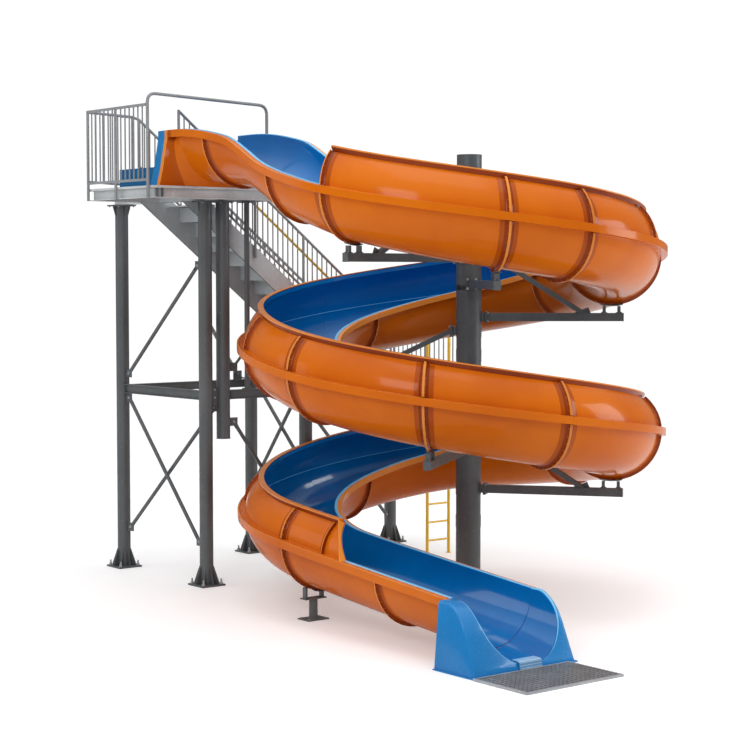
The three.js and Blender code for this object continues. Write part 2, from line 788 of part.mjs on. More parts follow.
function addColumns() {
  const top = deckUnder - GAP;
  const tall = (x, y, half) =>
    join([...columnPieces(x, y, top - CAP_PLATE / 2), ...capPieces(x, y, top, half)]);
  addPart(tower, "column_left_rear", tall(LEFT_REAR_X, REAR_ROW_Y, REAR_CAP_HALF), steel);
  addPart(tower, "column_left_front", tall(LEFT_X, FRONT_ROW_Y, CAP_HALF), steel);
  const midPlate = (x, y) => block(
    SHORT_CAP_HALF, SHORT_CAP_HALF, MID_TOP - SHORT_CAP_LAP, MID_TOP + SHORT_CAP_RISE,
  ).translate(x, y, 0);
  const short = (x, y) => join([...columnPieces(x, y, MID_TOP), midPlate(x, y)]);
  addPart(tower, "column_right_rear", short(RIGHT_REAR_X, REAR_ROW_Y), steel);
  addPart(tower, "column_right_front", short(RIGHT_FRONT_X, FRONT_ROW_Y), steel);
  const landingUnder = LANDING_TOP - LANDING_DEPTH - GAP;
  const landing = [
    ...columnPieces(LANDING_COLUMN_X, LANDING_COLUMN_Y, landingUnder - CAP_PLATE / 2),
    ...capPieces(LANDING_COLUMN_X, LANDING_COLUMN_Y, landingUnder),
  ];
  addPart(tower, "column_landing", join(landing), steel);
  const hangTop = deckUnder - GAP;
  const plateX = LEFT_X + COLUMN_RADIUS + GAP;
  const hanging = join([
    pillar(HANGING_X, FRONT_ROW_Y, HANGING_FOOT, hangTop - HANGING_LAP, COLUMN_RADIUS, COLUMN_SIDES),
    box(
      HANGING_X - HANGING_CAP_LEFT, HANGING_X + HANGING_CAP_RIGHT,
      FRONT_ROW_Y - HANGING_CAP_LEFT, CAP_END_Y, hangTop - CAP_PLATE, hangTop,
    ),
    jointPlate(plateX, HANGING_X, FRONT_ROW_Y, MID_TOP - MID_DEPTH, MID_TOP + JOINT_RISE),
  ]);
  addPart(tower, "hanging_post", hanging, steel);
  const hangerFoot = MID_TOP + GAP;
  const hangerX0 = HANGER_X - HANGER_PLATE_HALF;
  const hangerX1 = HANGER_X + HANGER_PLATE_HALF;
  const hanger = join([
    pillar(HANGER_X, FRONT_ROW_Y, hangerFoot, hangTop, HANGER_RADIUS, HANGER_SIDES),
    box(
      hangerX0, hangerX1, FRONT_ROW_Y - HANGER_FOOT_HALF, FRONT_ROW_Y + HANGER_FOOT_HALF,
      hangerFoot, MID_TOP + HANGER_PLATE,
    ),
    box(
      hangerX0, hangerX1, FRONT_ROW_Y - HANGER_PLATE_HALF, CAP_END_Y,
      hangTop - HANGER_PLATE, hangTop,
    ),
  ]);
  addPart(tower, "hanger_post", hanger, steel);
}

// Mid-height frame and braces
function addMidFrame() {
  const z0 = MID_TOP - MID_DEPTH;
  const half = MID_WIDTH / 2;
  const seat = COLUMN_RADIUS + GAP;
  const middle = (z0 + MID_TOP) / 2;
  const left = bar(
    at(LEFT_X, FRONT_ROW_Y + seat, middle),
    at(LEFT_REAR_X, REAR_ROW_Y - seat, middle),
    MID_WIDTH,
    MID_DEPTH,
  );
  addPart(tower, "mid_beam_left", left, steel);
  const rearTop = MID_TOP - REAR_BEAM_DROP;
  const rear = box(
    LEFT_REAR_X + seat, RIGHT_REAR_X - seat, REAR_ROW_Y - half, REAR_ROW_Y + half, z0, rearTop,
  );
  addPart(tower, "mid_beam_rear", rear, steel);
  const front = box(
    HANGING_X + seat, RIGHT_FRONT_X - SHORT_CAP_HALF - GAP,
    FRONT_ROW_Y - half, FRONT_ROW_Y + half, z0, MID_TOP,
  );
  addPart(tower, "mid_beam_front", front, steel);
}

// How far a column's flat sides reach in a plan direction, within half the thickness of a plate.
function columnReach(turn) {
  const facet = (2 * Math.PI) / COLUMN_SIDES;
  const side = COLUMN_RADIUS * Math.cos(facet / 2);
  const reachAt = (across) => {
    let reach = Infinity;
    for (let k = 0; k < COLUMN_SIDES; k += 1) {
      const lean = (k + 0.5) * facet - turn;
      if (Math.cos(lean) <= 0.5) continue;
      reach = Math.min(reach, (side - across * Math.sin(lean)) / Math.cos(lean));
    }
    return reach;
  };
  const samples = 8;
  let reach = 0;
  for (let i = 0; i <= samples; i += 1) {
    reach = Math.max(reach, reachAt((i / samples - 0.5) * LUG_THICK));
  }
  return reach;
}

// An upright lug plate that stands against a column, turned toward a plan direction.
function lugPlate(x, y, z, turn) {
  const start = columnReach(turn) + GAP;
  return box(start, start + LUG_LENGTH, -LUG_THICK / 2, LUG_THICK / 2, z - LUG_HALF, z + LUG_HALF)
    .rotateZ(turn)
    .translate(x, y, 0);
}

// The two lug plates and the rod of a brace between columns at two plan points and heights.
// The rod may lie to one side of the lug plates.
function bracePieces([xa, ya, za], [xb, yb, zb], sideways = 0) {
  const turn = Math.atan2(yb - ya, xb - xa);
  const inset = COLUMN_RADIUS + GAP + LUG_LENGTH / 2;
  const dx = Math.cos(turn) * inset;
  const dy = Math.sin(turn) * inset;
  const sx = -Math.sin(turn) * sideways;
  const sy = Math.cos(turn) * sideways;
  return [
    lugPlate(xa, ya, za, turn),
    lugPlate(xb, yb, zb, turn + Math.PI),
    rod(
      at(xa + dx + sx, ya + dy + sy, za), at(xb - dx + sx, yb - dy + sy, zb),
      BRACE_RADIUS, BRACE_SIDES,
    ),
  ];
}

function addBraces() {
  const leftRear = (z) => [LEFT_REAR_X, REAR_ROW_Y, z];
  const leftFront = (z) => [LEFT_X, FRONT_ROW_Y, z];
  const rightRear = (z) => [RIGHT_REAR_X, REAR_ROW_Y, z];
  const rightFront = (z) => [RIGHT_FRONT_X, FRONT_ROW_Y, z];
  const addBrace = (name, pieces) => addPart(tower, name, join(pieces), steel);
  addBrace("brace_left_upper", bracePieces(leftRear(LEFT_UPPER[0]), leftFront(LEFT_UPPER[1])));
  addBrace("brace_left_lower", bracePieces(leftRear(LEFT_LOWER[0]), leftFront(LEFT_LOWER[1])));
  const side = BRACE_RADIUS + BRACE_SIDE_GAP;
  addBrace("brace_right_falling", bracePieces(
    rightRear(RIGHT_FALLING[0]), rightFront(RIGHT_FALLING[1]), side,
  ));
  addBrace("brace_right_rising", bracePieces(
    rightFront(RIGHT_RISING[0]), rightRear(RIGHT_RISING[1]), side,
  ));
  addBrace("brace_landing", bracePieces(
    [LANDING_COLUMN_X, LANDING_COLUMN_Y, LANDING_BRACE[0]], rightFront(LANDING_BRACE[1]),
  ));
  addBrace("brace_front_low", bracePieces(
    [HANGING_X, FRONT_ROW_Y, FRONT_LOW[0]], rightFront(FRONT_LOW[1]),
  ));

  const inset = COLUMN_RADIUS + GAP + LUG_LENGTH / 2;
  const plateX = LEFT_X + COLUMN_RADIUS + GAP;
  const plateTop = MID_TOP - MID_DEPTH - GAP;
  const meeting = at(plateX + CROSS_PLATE_WIDTH / 2, FRONT_ROW_Y, plateTop - CROSS_DROP);
  const footTurn = Math.atan2(FRONT_ROW_Y - REAR_ROW_Y, meeting.x - LEFT_REAR_X);
  const foot = at(
    LEFT_REAR_X + inset * Math.cos(footTurn), REAR_ROW_Y + inset * Math.sin(footTurn), CROSS_FOOT,
  );
  addBrace("brace_left_cross", [
    jointPlate(
      plateX, plateX + CROSS_PLATE_WIDTH, FRONT_ROW_Y, plateTop - CROSS_PLATE_DEPTH, plateTop,
    ),
    rod(meeting, foot, BRACE_RADIUS, BRACE_SIDES),
    lugPlate(LEFT_REAR_X, REAR_ROW_Y, foot.z, footTurn),
  ]);

  const beamTop = MID_TOP - REAR_BEAM_DROP;
  const acrossHead = at(ACROSS_HEAD_X, REAR_ROW_Y, beamTop + ACROSS_HEAD_RISE);
  const acrossTurn = Math.atan2(acrossHead.y - FRONT_ROW_Y, acrossHead.x - LEFT_X);
  const acrossFoot = at(
    LEFT_X + inset * Math.cos(acrossTurn), FRONT_ROW_Y + inset * Math.sin(acrossTurn), ACROSS_FOOT,
  );
  addBrace("brace_across", [
    lugPlate(LEFT_X, FRONT_ROW_Y, acrossFoot.z, acrossTurn),
    rod(acrossFoot, acrossHead, BRACE_RADIUS, BRACE_SIDES),
    jointPlate(...ACROSS_PLATE, REAR_ROW_Y, beamTop + GAP, beamTop + ACROSS_PLATE_RISE),
  ]);

  const kneeX = HANGER_X - HANGER_RADIUS - GAP;
  const kneeFoot = at(HANGING_X + inset, FRONT_ROW_Y, KNEE_FOOT);
  const kneeHead = at(kneeX - KNEE_PLATE_WIDTH / 2, FRONT_ROW_Y, KNEE_HEAD);
  addBrace("hanger_knee", [
    lugPlate(HANGING_X, FRONT_ROW_Y, KNEE_LUG, 0),
    rod(kneeFoot, kneeHead, KNEE_RADIUS, BRACE_SIDES),
    jointPlate(
      kneeX - KNEE_PLATE_WIDTH, kneeX, FRONT_ROW_Y,
      KNEE_HEAD - KNEE_PLATE_HALF, KNEE_HEAD + KNEE_PLATE_HALF,
    ),
  ]);
}

// Platform
// One layer of the deck frame in plan: channels round two bays, and the main beam that runs back
// to the rear column. The layer's outer and inner edges are set in by the given amounts.
function frameLayer(outerInset, innerInset, z0, z1) {
  const beamLeft = BEAM_X - HEADER_WIDTH / 2 + innerInset;
  const beamRight = BEAM_X + HEADER_WIDTH / 2 - innerInset;
  const beamEnd = REAR_ROW_Y + REAR_CAP_HALF - innerInset;
  const x0 = DECK_X0 + outerInset;
  const x1 = DECK_X1 - outerInset;
  const y0 = DECK_Y0 + outerInset;
  const leftY1 = DECK_Y1 - outerInset;
  const rightY1 = TRIMMER_Y - outerInset;
  const outline = [
    [x0, y0], [x1, y0], [x1, rightY1], [beamRight, rightY1], [beamRight, beamEnd],
    [beamLeft, beamEnd], [beamLeft, leftY1], [x0, leftY1],
  ];
  const channel = CHANNEL_WIDTH - innerInset;
  const bayY0 = DECK_Y0 + channel;
  const leftBay = box(
    DECK_X0 + channel, beamLeft, bayY0, DECK_Y1 - channel, z0 - channel, z1 + channel,
  );
  const rightBay = box(
    beamRight, DECK_X1 - channel, bayY0, TRIMMER_Y - channel, z0 - channel, z1 + channel,
  );
  return cut(cut(profileXY(outline, z0, z1), leftBay), rightBay);
}

function addPlatform() {
  const z0 = deckUnder;
  const z1 = DECK_TOP - DECK_PLATE - GAP;
  const lap = CHANNEL_WEB / 2;
  const frame = [
    frameLayer(0, 0, z0, z0 + CHANNEL_WEB),
    frameLayer(CHANNEL_WIDTH - CHANNEL_WEB, WEB_INSET, z0 + lap, z1 - lap),
    frameLayer(0, 0, z1 - CHANNEL_WEB, z1),
  ];
  addPart(tower, "deck_frame", join(frame), steel);
  const outline = [
    [DECK_X0, DECK_Y0], [DECK_X1, DECK_Y0], [DECK_X1, TRIMMER_Y], [STAIR_X, TRIMMER_Y],
    [STAIR_X, DECK_Y1], [DECK_X0, DECK_Y1],
  ];
  addPart(tower, "deck_plate", profileXY(outline, DECK_TOP - DECK_PLATE, DECK_TOP), steel);
}

// Guard panels: a top and a bottom rail with balusters between them, and posts given by their
// share of the length and the height of their foot.
function guard({ from, to, top, bottom, posts, step = BALUSTER_STEP }) {
  const along = to.clone().sub(from);
  const raise = (p, z) => at(p.x, p.y, p.z + z);
  const level = Math.hypot(along.x, along.y);
  const pieces = [
    bar(raise(from, top), raise(to, top), 2 * RAIL_RADIUS, 2 * RAIL_RADIUS),
    bar(raise(from, bottom), raise(to, bottom), LOW_RAIL, LOW_RAIL),
  ];
  for (const [share, foot] of posts) {
    const p = from.clone().addScaledVector(along, share);
    pieces.push(pillar(p.x, p.y, foot, p.z + top, RAIL_RADIUS, POST_SIDES));
  }
  const count = Math.round(level / step);
  const clearance = (step * POST_CLEARANCE) / level;
  for (let i = 1; i < count; i += 1) {
    const share = i / count;
    if (posts.some(([near]) => Math.abs(near - share) < clearance)) continue;
    const p = from.clone().addScaledVector(along, share);
    pieces.push(pillar(p.x, p.y, p.z + bottom, p.z + top, BALUSTER_RADIUS, BALUSTER_SIDES));
  }
  return join(pieces);
}

const railOut = RAIL_RADIUS + GAP;
const stairSlope = (DECK_TOP - LANDING_TOP) / (RISERS * GOING);

function addPlatformGuards() {
  const x = DECK_X0 - railOut;
  const foot = deckUnder;
  const left = guard({
    from: at(x, HOOP_Y + HOOP_RADIUS + GAP, DECK_TOP),
    to: at(x, DECK_Y1 - LEFT_GUARD_INSET, DECK_TOP),
    top: GUARD_TOP,
    bottom: GUARD_BOTTOM,
    posts: [[MIDDLE_POST, foot], [1, foot]],
  });
  addPart(tower, "guard_left", left, steel);
  const y = DECK_Y1 + railOut;
  const rear = guard({
    from: at(DECK_X0 + REAR_GUARD_INSET, y, DECK_TOP),
    to: at(REAR_GUARD_END, y, DECK_TOP - REAR_GUARD_DROP),
    top: GUARD_TOP,
    bottom: GUARD_BOTTOM + REAR_GUARD_DROP,
    posts: [[0, foot], [1, foot]],
  });
  addPart(tower, "guard_rear", rear, steel);
  const hoopX = DECK_X0 - HOOP_RADIUS - GAP;
  const corners = [
    at(hoopX, HOOP_Y, foot),
    at(hoopX, HOOP_Y, HOOP_TOP),
    at(HOOP_FAR_X, HOOP_Y, HOOP_FAR_TOP),
    at(HOOP_FAR_X, HOOP_Y, DECK_TOP + GAP),
  ];
  const hoop = bentRod(
    roundedPath(corners, HOOP_CORNER, HOOP_BEND_STEPS), at(0, 1, 0), HOOP_RADIUS, HOOP_SIDES,
  );
  const plate = box(
    HOOP_FAR_X - FOOT_PLATE, HOOP_FAR_X + FOOT_PLATE, HOOP_Y - FOOT_PLATE, HOOP_Y + FOOT_PLATE,
    DECK_TOP + GAP, DECK_TOP + HOOP_PLATE,
  );
  addPart(tower, "entry_hoop", join([hoop, plate]), steel);
}

// Stair
const nosing = (x) => DECK_TOP - stairSlope * (x - STAIR_X);

function addStair() {
  const rise = (DECK_TOP - LANDING_TOP) / RISERS;
  const inner0 = STAIR_Y0 + STRINGER_THICK;
  const inner1 = STAIR_Y0 + STAIR_WIDTH - STRINGER_THICK;
  const startX = STAIR_X + HEADER_WIDTH / 2;
  const endX = STAIR_X + (RISERS - 1) * GOING - GAP;
  const steps = [];
  const under = [];
  for (let k = 1; k < RISERS; k += 1) {
    const x0 = k === 1 ? startX - TOP_TREAD_LAP : STAIR_X + (k - 1) * GOING;
    const x1 = k === RISERS - 1 ? endX : STAIR_X + k * GOING;
    const z = DECK_TOP - k * rise;
    steps.push([x0, z], [x1, z]);
    under.push([x0 - (k === 1 ? 0 : TREAD_THICK), z - TREAD_THICK]);
    under.push([x1 - (k === RISERS - 1 ? 0 : TREAD_THICK), z - TREAD_THICK]);
  }
  const flight = profileXZ([...under, ...steps.reverse()], inner0 - TREAD_LAP, inner1 + TREAD_LAP);
  const topEdge = (x) => nosing(x) - STRINGER_DROP;
  const x0 = startX - TOP_TREAD_LAP;
  const under0 = deckUnder - 2 * GAP;
  const stringer = (depth) => {
    const drop = depth * Math.hypot(1, stairSlope);
    const tailX = STAIR_X + (DECK_TOP - STRINGER_DROP - drop - under0) / stairSlope;
    return [
      [tailX, under0],
      [endX, topEdge(endX) - drop],
      [endX, topEdge(endX)],
      [x0, topEdge(x0)],
      [x0, under0],
    ];
  };
  addPart(
    tower,
    "stair_flight",
    join([
      flight,
      profileXZ(stringer(NEAR_STRINGER_DEPTH), STAIR_Y0, inner0),
      profileXZ(stringer(FAR_STRINGER_DEPTH), inner1, STAIR_Y0 + STAIR_WIDTH),
    ]),
    steel,
  );
  return endX;
}

function addLanding(endX) {
  const x0 = endX + GAP;
  const x1 = x0 + LANDING_LENGTH;
  const y0 = STAIR_Y0;
  const y1 = STAIR_Y0 + LANDING_WIDTH;
  addPart(
    tower, "landing_deck", box(x0, x1, y0, y1, LANDING_TOP - LANDING_DEPTH, LANDING_TOP), steel,
  );
  const foot = LANDING_TOP - LANDING_DEPTH;
  const side = guard({
    from: at(x1 + railOut, y0 + GUARD_INSET, LANDING_TOP),
    to: at(x1 + railOut, y1 - GUARD_INSET, LANDING_TOP),
    top: GUARD_TOP,
    bottom: GUARD_BOTTOM,
    posts: [[0, foot], [0.5, foot], [1, foot]],
  });
  addPart(tower, "landing_guard_right", side, steel);
  const rear = guard({
    from: at(x0 + GUARD_INSET, y1 + railOut, LANDING_TOP),
    to: at(x1 - GUARD_INSET, y1 + railOut, LANDING_TOP),
    top: GUARD_TOP,
    bottom: GUARD_BOTTOM,
    posts: [[0, foot], [0.5, foot], [1, foot]],
  });
  addPart(tower, "landing_guard_rear", rear, steel);
}

function addLadder() {
  const y = STAIR_Y0 - LADDER_RADIUS - GAP;
  const right = LADDER_X + LADDER_WIDTH;
  const pieces = [
    pillar(LADDER_X, y, 0, LADDER_TOP, LADDER_RADIUS, LADDER_SIDES),
    pillar(right, y, 0, LADDER_TOP, LADDER_RADIUS, LADDER_SIDES),
  ];
  for (let z = FIRST_RUNG; z < LANDING_TOP; z += RUNG_STEP) {
    pieces.push(rod(at(LADDER_X, y, z), at(right, y, z), RUNG_RADIUS, RUNG_SIDES));
  }
  addPart(tower, "ladder", join(pieces), yellow);
}

function addStairGuards(endX) {
  const x1 = endX - STAIR_END_INSET;
  const sloped = (name, x0, y, top, firstFoot) => {
    const posts = [[0, firstFoot]];
    for (let x = STAIR_X + STAIR_END_INSET; x <= x1 + 1; x += STAIR_POST_SPAN) {
      posts.push([(x - x0) / (x1 - x0), nosing(x) - STAIR_POST_FOOT]);
    }
    const panel = guard({
      from: at(x0, y, nosing(x0)),
      to: at(x1, y, nosing(x1)),
      top,
      bottom: STAIR_GUARD_BOTTOM,
      posts,
      step: STAIR_BALUSTER_STEP,
    });
    addPart(tower, name, panel, steel);
  };
  const nearY = STAIR_Y0 - railOut;
  sloped("stair_guard_near", NEAR_GUARD_X, nearY, NEAR_GUARD_TOP, DECK_TOP + GAP);
  sloped("stair_guard_far", FAR_GUARD_X, STAIR_Y0 + STAIR_WIDTH + railOut, FAR_GUARD_TOP, deckUnder);
  const x0 = STAIR_X + STAIR_END_INSET;
  const y = nearY + HANDRAIL_OFFSET;
  const h = NEAR_GUARD_TOP - HANDRAIL_DROP;
  const rail = [
    rod(at(x0, y, nosing(x0) + h), at(x1, y, nosing(x1) + h), HANDRAIL_RADIUS, HANDRAIL_SIDES),
  ];
  for (let x = x0; x <= x1 + 1; x += STAIR_POST_SPAN) {
    const z = nosing(x) + h;
    rail.push(rod(
      at(x, y, z), at(x, nearY + RAIL_RADIUS + GAP, z), HANDRAIL_BRACKET, HANDRAIL_BRACKET_SIDES,
    ));
  }
  addPart(tower, "stair_handrail", join(rail), yellow);
}

// Start tub on the platform, with cheeks that rise to the flume's rims.
function addStartTub() {
  const x0 = SLIDE_X - PATH_RADIUS - SHELL_OUTER - TUB_WALL;
  const x1 = SLIDE_X - PATH_RADIUS + SHELL_OUTER + TUB_WALL;
  const z0 = DECK_TOP + GAP;
  const startY = SLIDE_Y + (ENTRY_ANGLE - ENTRY_START) * DEG * PATH_RADIUS + GAP;
  const rim = FLANGE_HEIGHTS[0][1];
  const cheek = [
    [startY, z0],
    [startY + CHEEK_LENGTH, z0],
    [startY + CHEEK_LENGTH, z0 + TUB_HEIGHT],
    [startY + CHEEK_SHOULDER[0], rim - CHEEK_SHOULDER[1]],
    [startY, rim],
  ];
  const floor = [
    [x0, startY],
    [x1, startY],
    [x1, startY + TUB_WIDE_LENGTH],
    [TUB_NARROW_X, startY + TUB_TAPER_END],
    [TUB_NARROW_X, TUB_REAR_Y],
    [x0, TUB_REAR_Y],
  ];
  const tub = join([
    profileXY(floor, z0, z0 + TUB_WALL),
    box(x0, x0 + TUB_WALL, startY, TUB_REAR_Y, z0, z0 + TUB_HEIGHT),
    box(x0, TUB_NARROW_X, TUB_REAR_Y - TUB_WALL, TUB_REAR_Y, z0, z0 + TUB_HEIGHT),
    profileYZ([...cheek].reverse(), x0, x0 + TUB_WALL),
    profileYZ([...cheek].reverse(), x1 - TUB_WALL, x1),
  ]);
  addPart(tower, "start_tub", tub, blue);
}

// Mast with pads for its arms
const ARMS = [
  { name: "arm_upper_right", angle: 321.5, strut: 1 },
  { name: "arm_upper_front", angle: 243.7, strut: 0 },
  { name: "arm_upper_left", angle: 195, strut: 1 },
  { name: "arm_upper_back", angle: 402, strut: 1 },
  { name: "arm_middle_left", angle: 490, strut: 1, plain: true },
  { name: "arm_lower_right", angle: 668.5, strut: 1 },
  { name: "arm_lower_front", angle: 582.4, strut: 0 },
  { name: "arm_lower_back", angle: 762, strut: 1 },
];

function armLayout({ angle, plain }) {
  const p = besidePath(angle, 0, 0);
  const x = p.x + SLIDE_X;
  const y = p.y + SLIDE_Y;
  const bottom = undersideAt(angle, !plain) - GAP;
  return {
    turn: Math.atan2(y, x),
    reach: Math.hypot(x, y),
    saddleTop: bottom,
    beamTop: bottom - SADDLE_PLATE - SADDLE_GAP,
  };
}

function addMast() {
  const pieces = [
    block(MAST_PLATE / 2, MAST_PLATE / 2, 0, MAST_PLATE_THICK),
    pillar(0, 0, MAST_PLATE_THICK / 2, MAST_HEIGHT, MAST_RADIUS, MAST_SIDES),
    ...baseGussets(0, 0, MAST_RADIUS, MAST_PLATE / 2, MAST_GUSSET_HEIGHT),
  ];
  for (const arm of ARMS) {
    const { turn, beamTop } = armLayout(arm);
    const z = beamTop - ARM_DEPTH / 2;
    const pad = (zc) =>
      box(
        MAST_RADIUS - PAD_ROOT, MAST_RADIUS + PAD_OUT, -PAD_HALF, PAD_HALF, zc - PAD_HALF, zc + PAD_HALF,
      ).rotateZ(turn);
    pieces.push(pad(z));
    if (arm.strut) pieces.push(pad(z + STRUT_RISE));
  }
  addPart(tower, "mast", join(pieces), steel);
}

// The level plate under the flume, and a leg that carries it, both round the Z axis.
const saddlePlate = (top) => block(SADDLE_HALF, SADDLE_WIDTH / 2, top - SADDLE_PLATE, top);
const saddleLeg = (foot, plateTop) =>
  block(SADDLE_LEG / 2, SADDLE_LEG_DEPTH / 2, foot, plateTop - SADDLE_PLATE / 2);

function addArms() {
  for (const arm of ARMS) {
    const { turn, reach, saddleTop, beamTop } = armLayout(arm);
    const z = beamTop - ARM_DEPTH / 2;
    const start = MAST_RADIUS + PAD_OUT + GAP;
    const plate = (zc) =>
      box(start, start + PAD_PLATE, -PAD_HALF, PAD_HALF, zc - PAD_HALF, zc + PAD_HALF);
    const pieces = [
      plate(z),
      box(
        start + PAD_PLATE / 2, reach + ARM_OVERHANG, -ARM_WIDTH / 2, ARM_WIDTH / 2,
        beamTop - ARM_DEPTH, beamTop,
      ),
      saddlePlate(saddleTop).translate(reach, 0, 0),
    ];
    for (const side of [-1, 1]) {
      const x = reach + side * SADDLE_SPREAD;
      pieces.push(saddleLeg(beamTop - SADDLE_LEG_ROOT, saddleTop).translate(x, 0, 0));
    }
    if (arm.strut) {
      const top = at(start + PAD_PLATE + STRUT_START, 0, z + STRUT_RISE);
      const low = at(start + (reach - start) * STRUT_REACH, 0, z);
      pieces.push(plate(z + STRUT_RISE), bar(top, low, STRUT, STRUT));
    }
    const mesh = addPart(tower, arm.name, join(pieces), steel);
    mesh.rotation.z = turn;
  }
}

// Short post under the last turn
function addSupportPost() {
  const angle = TURN_JOINTS[TURN_JOINTS.length - 1];
  const p = besidePath(angle, 0, 0);
  const top = undersideAt(angle, true) - GAP;
  const shelf = top - SADDLE_PLATE - POST_SHELF_DROP;
  const lap = POST_PLATE / 2;
  const pieces = [
    block(...POST_FOOT, 0, POST_PLATE),
    block(POST_TUBE_HALF, POST_TUBE_HALF, lap, shelf - lap),
    block(...POST_SHELF, shelf - POST_PLATE, shelf),
    saddlePlate(top),
    saddleLeg(shelf - lap, top).translate(-SADDLE_SPREAD, 0, 0),
    saddleLeg(shelf - lap, top).translate(SADDLE_SPREAD, 0, 0),
  ];
  const mesh = addPart(tower, "support_post", join(pieces), steel);
  mesh.position.set(p.x + SLIDE_X - POST_SHIFT, p.y + SLIDE_Y, 0);
}

addFlume();
addRunOut();
addGrate();
addColumns();
addMidFrame();
addBraces();
addPlatform();
addPlatformGuards();
const endX = addStair();
addLanding(endX);
addLadder();
addStairGuards(endX);
addStartTub();
addMast();
addArms();
addSupportPost();

export default tower;
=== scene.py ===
# A spiral water slide with its stair tower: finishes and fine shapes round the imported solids.
# Lengths are metres in the solids' frame: the origin is the centre of the mast's foot, +Z up.
import math

import bpy
import bmesh
from mathutils import Matrix, Vector


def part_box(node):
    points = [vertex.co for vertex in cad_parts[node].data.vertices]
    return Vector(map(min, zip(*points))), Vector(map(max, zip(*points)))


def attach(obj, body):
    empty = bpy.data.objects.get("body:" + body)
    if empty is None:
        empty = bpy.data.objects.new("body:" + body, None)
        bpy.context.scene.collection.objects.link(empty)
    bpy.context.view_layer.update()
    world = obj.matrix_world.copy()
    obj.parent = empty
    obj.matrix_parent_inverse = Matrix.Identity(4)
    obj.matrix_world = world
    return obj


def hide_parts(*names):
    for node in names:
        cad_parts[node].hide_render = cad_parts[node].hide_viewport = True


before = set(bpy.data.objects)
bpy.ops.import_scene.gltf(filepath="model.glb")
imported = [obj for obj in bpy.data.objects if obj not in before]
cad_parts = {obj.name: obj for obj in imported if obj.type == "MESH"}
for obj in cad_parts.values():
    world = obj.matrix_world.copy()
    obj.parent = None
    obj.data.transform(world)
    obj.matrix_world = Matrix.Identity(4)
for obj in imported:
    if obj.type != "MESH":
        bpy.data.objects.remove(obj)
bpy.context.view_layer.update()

# Flume path, as in the solids
SLIDE = Vector((-0.170, 0.140, 0.0))
PATH_RADIUS = 1.965
ENTRY_ANGLE, EXIT_ANGLE = 180.0, 900.0
FLANGE_HEIGHTS = [
    (100, 5.715), (125, 5.705), (141, 5.626), (150, 5.550), (159, 5.400), (168, 5.240),
    (182, 5.085), (194.5, 4.950), (312.5, 4.278), (505.7, 3.128), (542.8, 2.865), (582.4, 2.620),
    (620.5, 2.393), (672.5, 2.104), (732, 1.815), (769, 1.690), (790, 1.567), (802, 1.490),
    (834, 1.288), (865.7, 1.100), (900, 0.935), (935, 0.815), (986, 0.656),
]
ENTRY_START = 106.9
SKIRT_END = 118.0
DEEP_END, NORMAL_START = 131.0, 182.0
WALL_START, WALL_END = 194.5, 934.0
WALL_LEAN = 10.0
WALL_SINK, WALL_SINK_START = 0.15, 470.0
TURN_JOINTS = [194.5, 267.3, 321.5, 402, 451.5, 542.8, 620.5, 668.5, 762, 816.5, 900.2]
FULL_RIBS = [133.5, 171.5, 243.7, 361, 515, 582.4, 715, 856, 950.1]
WALL_RIBS = [298.5]
WALL_END_RIB = 922.6
RUNOUT_START = -2.950
EXIT_END = EXIT_ANGLE + math.degrees(-RUNOUT_START / PATH_RADIUS)

# Flume section
SHELL_OUTER, SHELL_INNER, LINER_INNER = 0.560, 0.547, 0.540
RIM_REACH, RIM_HALF = 0.618, 0.035
BAND_REACH, BAND_HALF = 0.648, 0.045
WALL_TOP = 53.0
LIP_REACH, LIP_TOP, LIP_EDGE, LIP_THICK = 0.391, 0.492, 0.016, 0.012
RIB_OUTER = 0.604
SADDLE_REACH = 0.606
DECK_TOP = 5.080
ARC_STEP = 4.0
STATION_STEP = 2.5
UP = Vector((0, 0, 1))
WHITE = (1, 1, 1, 1)
GAP = 0.0003


# Shapes
class Shape:
    """Vertices and faces of one piece, gathered body by body."""

    def __init__(self, *bodies):
        self.vertices, self.faces, self.paints = [], [], []
        self.add(*bodies)

    def add(self, *bodies, paint=0):
        for vertices, faces in bodies:
            base = len(self.vertices)
            self.vertices += [tuple(v) for v in vertices]
            self.faces += [tuple(base + i for i in face) for face in faces]
            self.paints += [paint] * len(faces) if isinstance(paint, int) else paint


def sweep(rings):
    """A body through rings of points, with flat ends."""
    count = len(rings[0])
    faces = []
    for a in range(0, (len(rings) - 1) * count, count):
        for k in range(count):
            n = (k + 1) % count
            faces.append((a + k, a + n, a + count + n, a + count + k))
    last = (len(rings) - 1) * count
    faces += [tuple(reversed(range(count))), tuple(range(last, last + count))]
    return [v for ring in rings for v in ring], faces


def circle(centre, u, v, radius, sides):
    turns = [2 * math.pi * (k + 0.5) / sides for k in range(sides)]
    return [centre + radius * (math.cos(t) * u + math.sin(t) * v) for t in turns]


def level_way(turn):
    return Vector((math.cos(turn), math.sin(turn), 0))


def across(direction):
    """Two unit directions square to the given one, the first level where it can be."""
    d = direction.normalized()
    helper = UP if abs(d.z) < 0.95 else Vector((0, 1, 0))
    u = helper.cross(d).normalized()
    return u, d.cross(u)


def tube(points, radius, sides=16):
    points = [Vector(p) for p in points]
    ends = zip(points[:1] + points[:-1], points[1:] + points[-1:])
    tangents = [(after - before).normalized() for before, after in ends]
    u, _ = across(tangents[0])
    rings = []
    for p, t in zip(points, tangents):
        u = (u - t * u.dot(t)).normalized()
        rings.append(circle(p, u, t.cross(u), radius, sides))
    return sweep(rings)


def disc_stack(centre, axis, levels, sides=24):
    """A turned body: levels are distance along the axis and radius there."""
    u, v = across(Vector(axis))
    d = Vector(axis).normalized()
    return sweep([circle(Vector(centre) + d * at, u, v, radius, sides) for at, radius in levels])


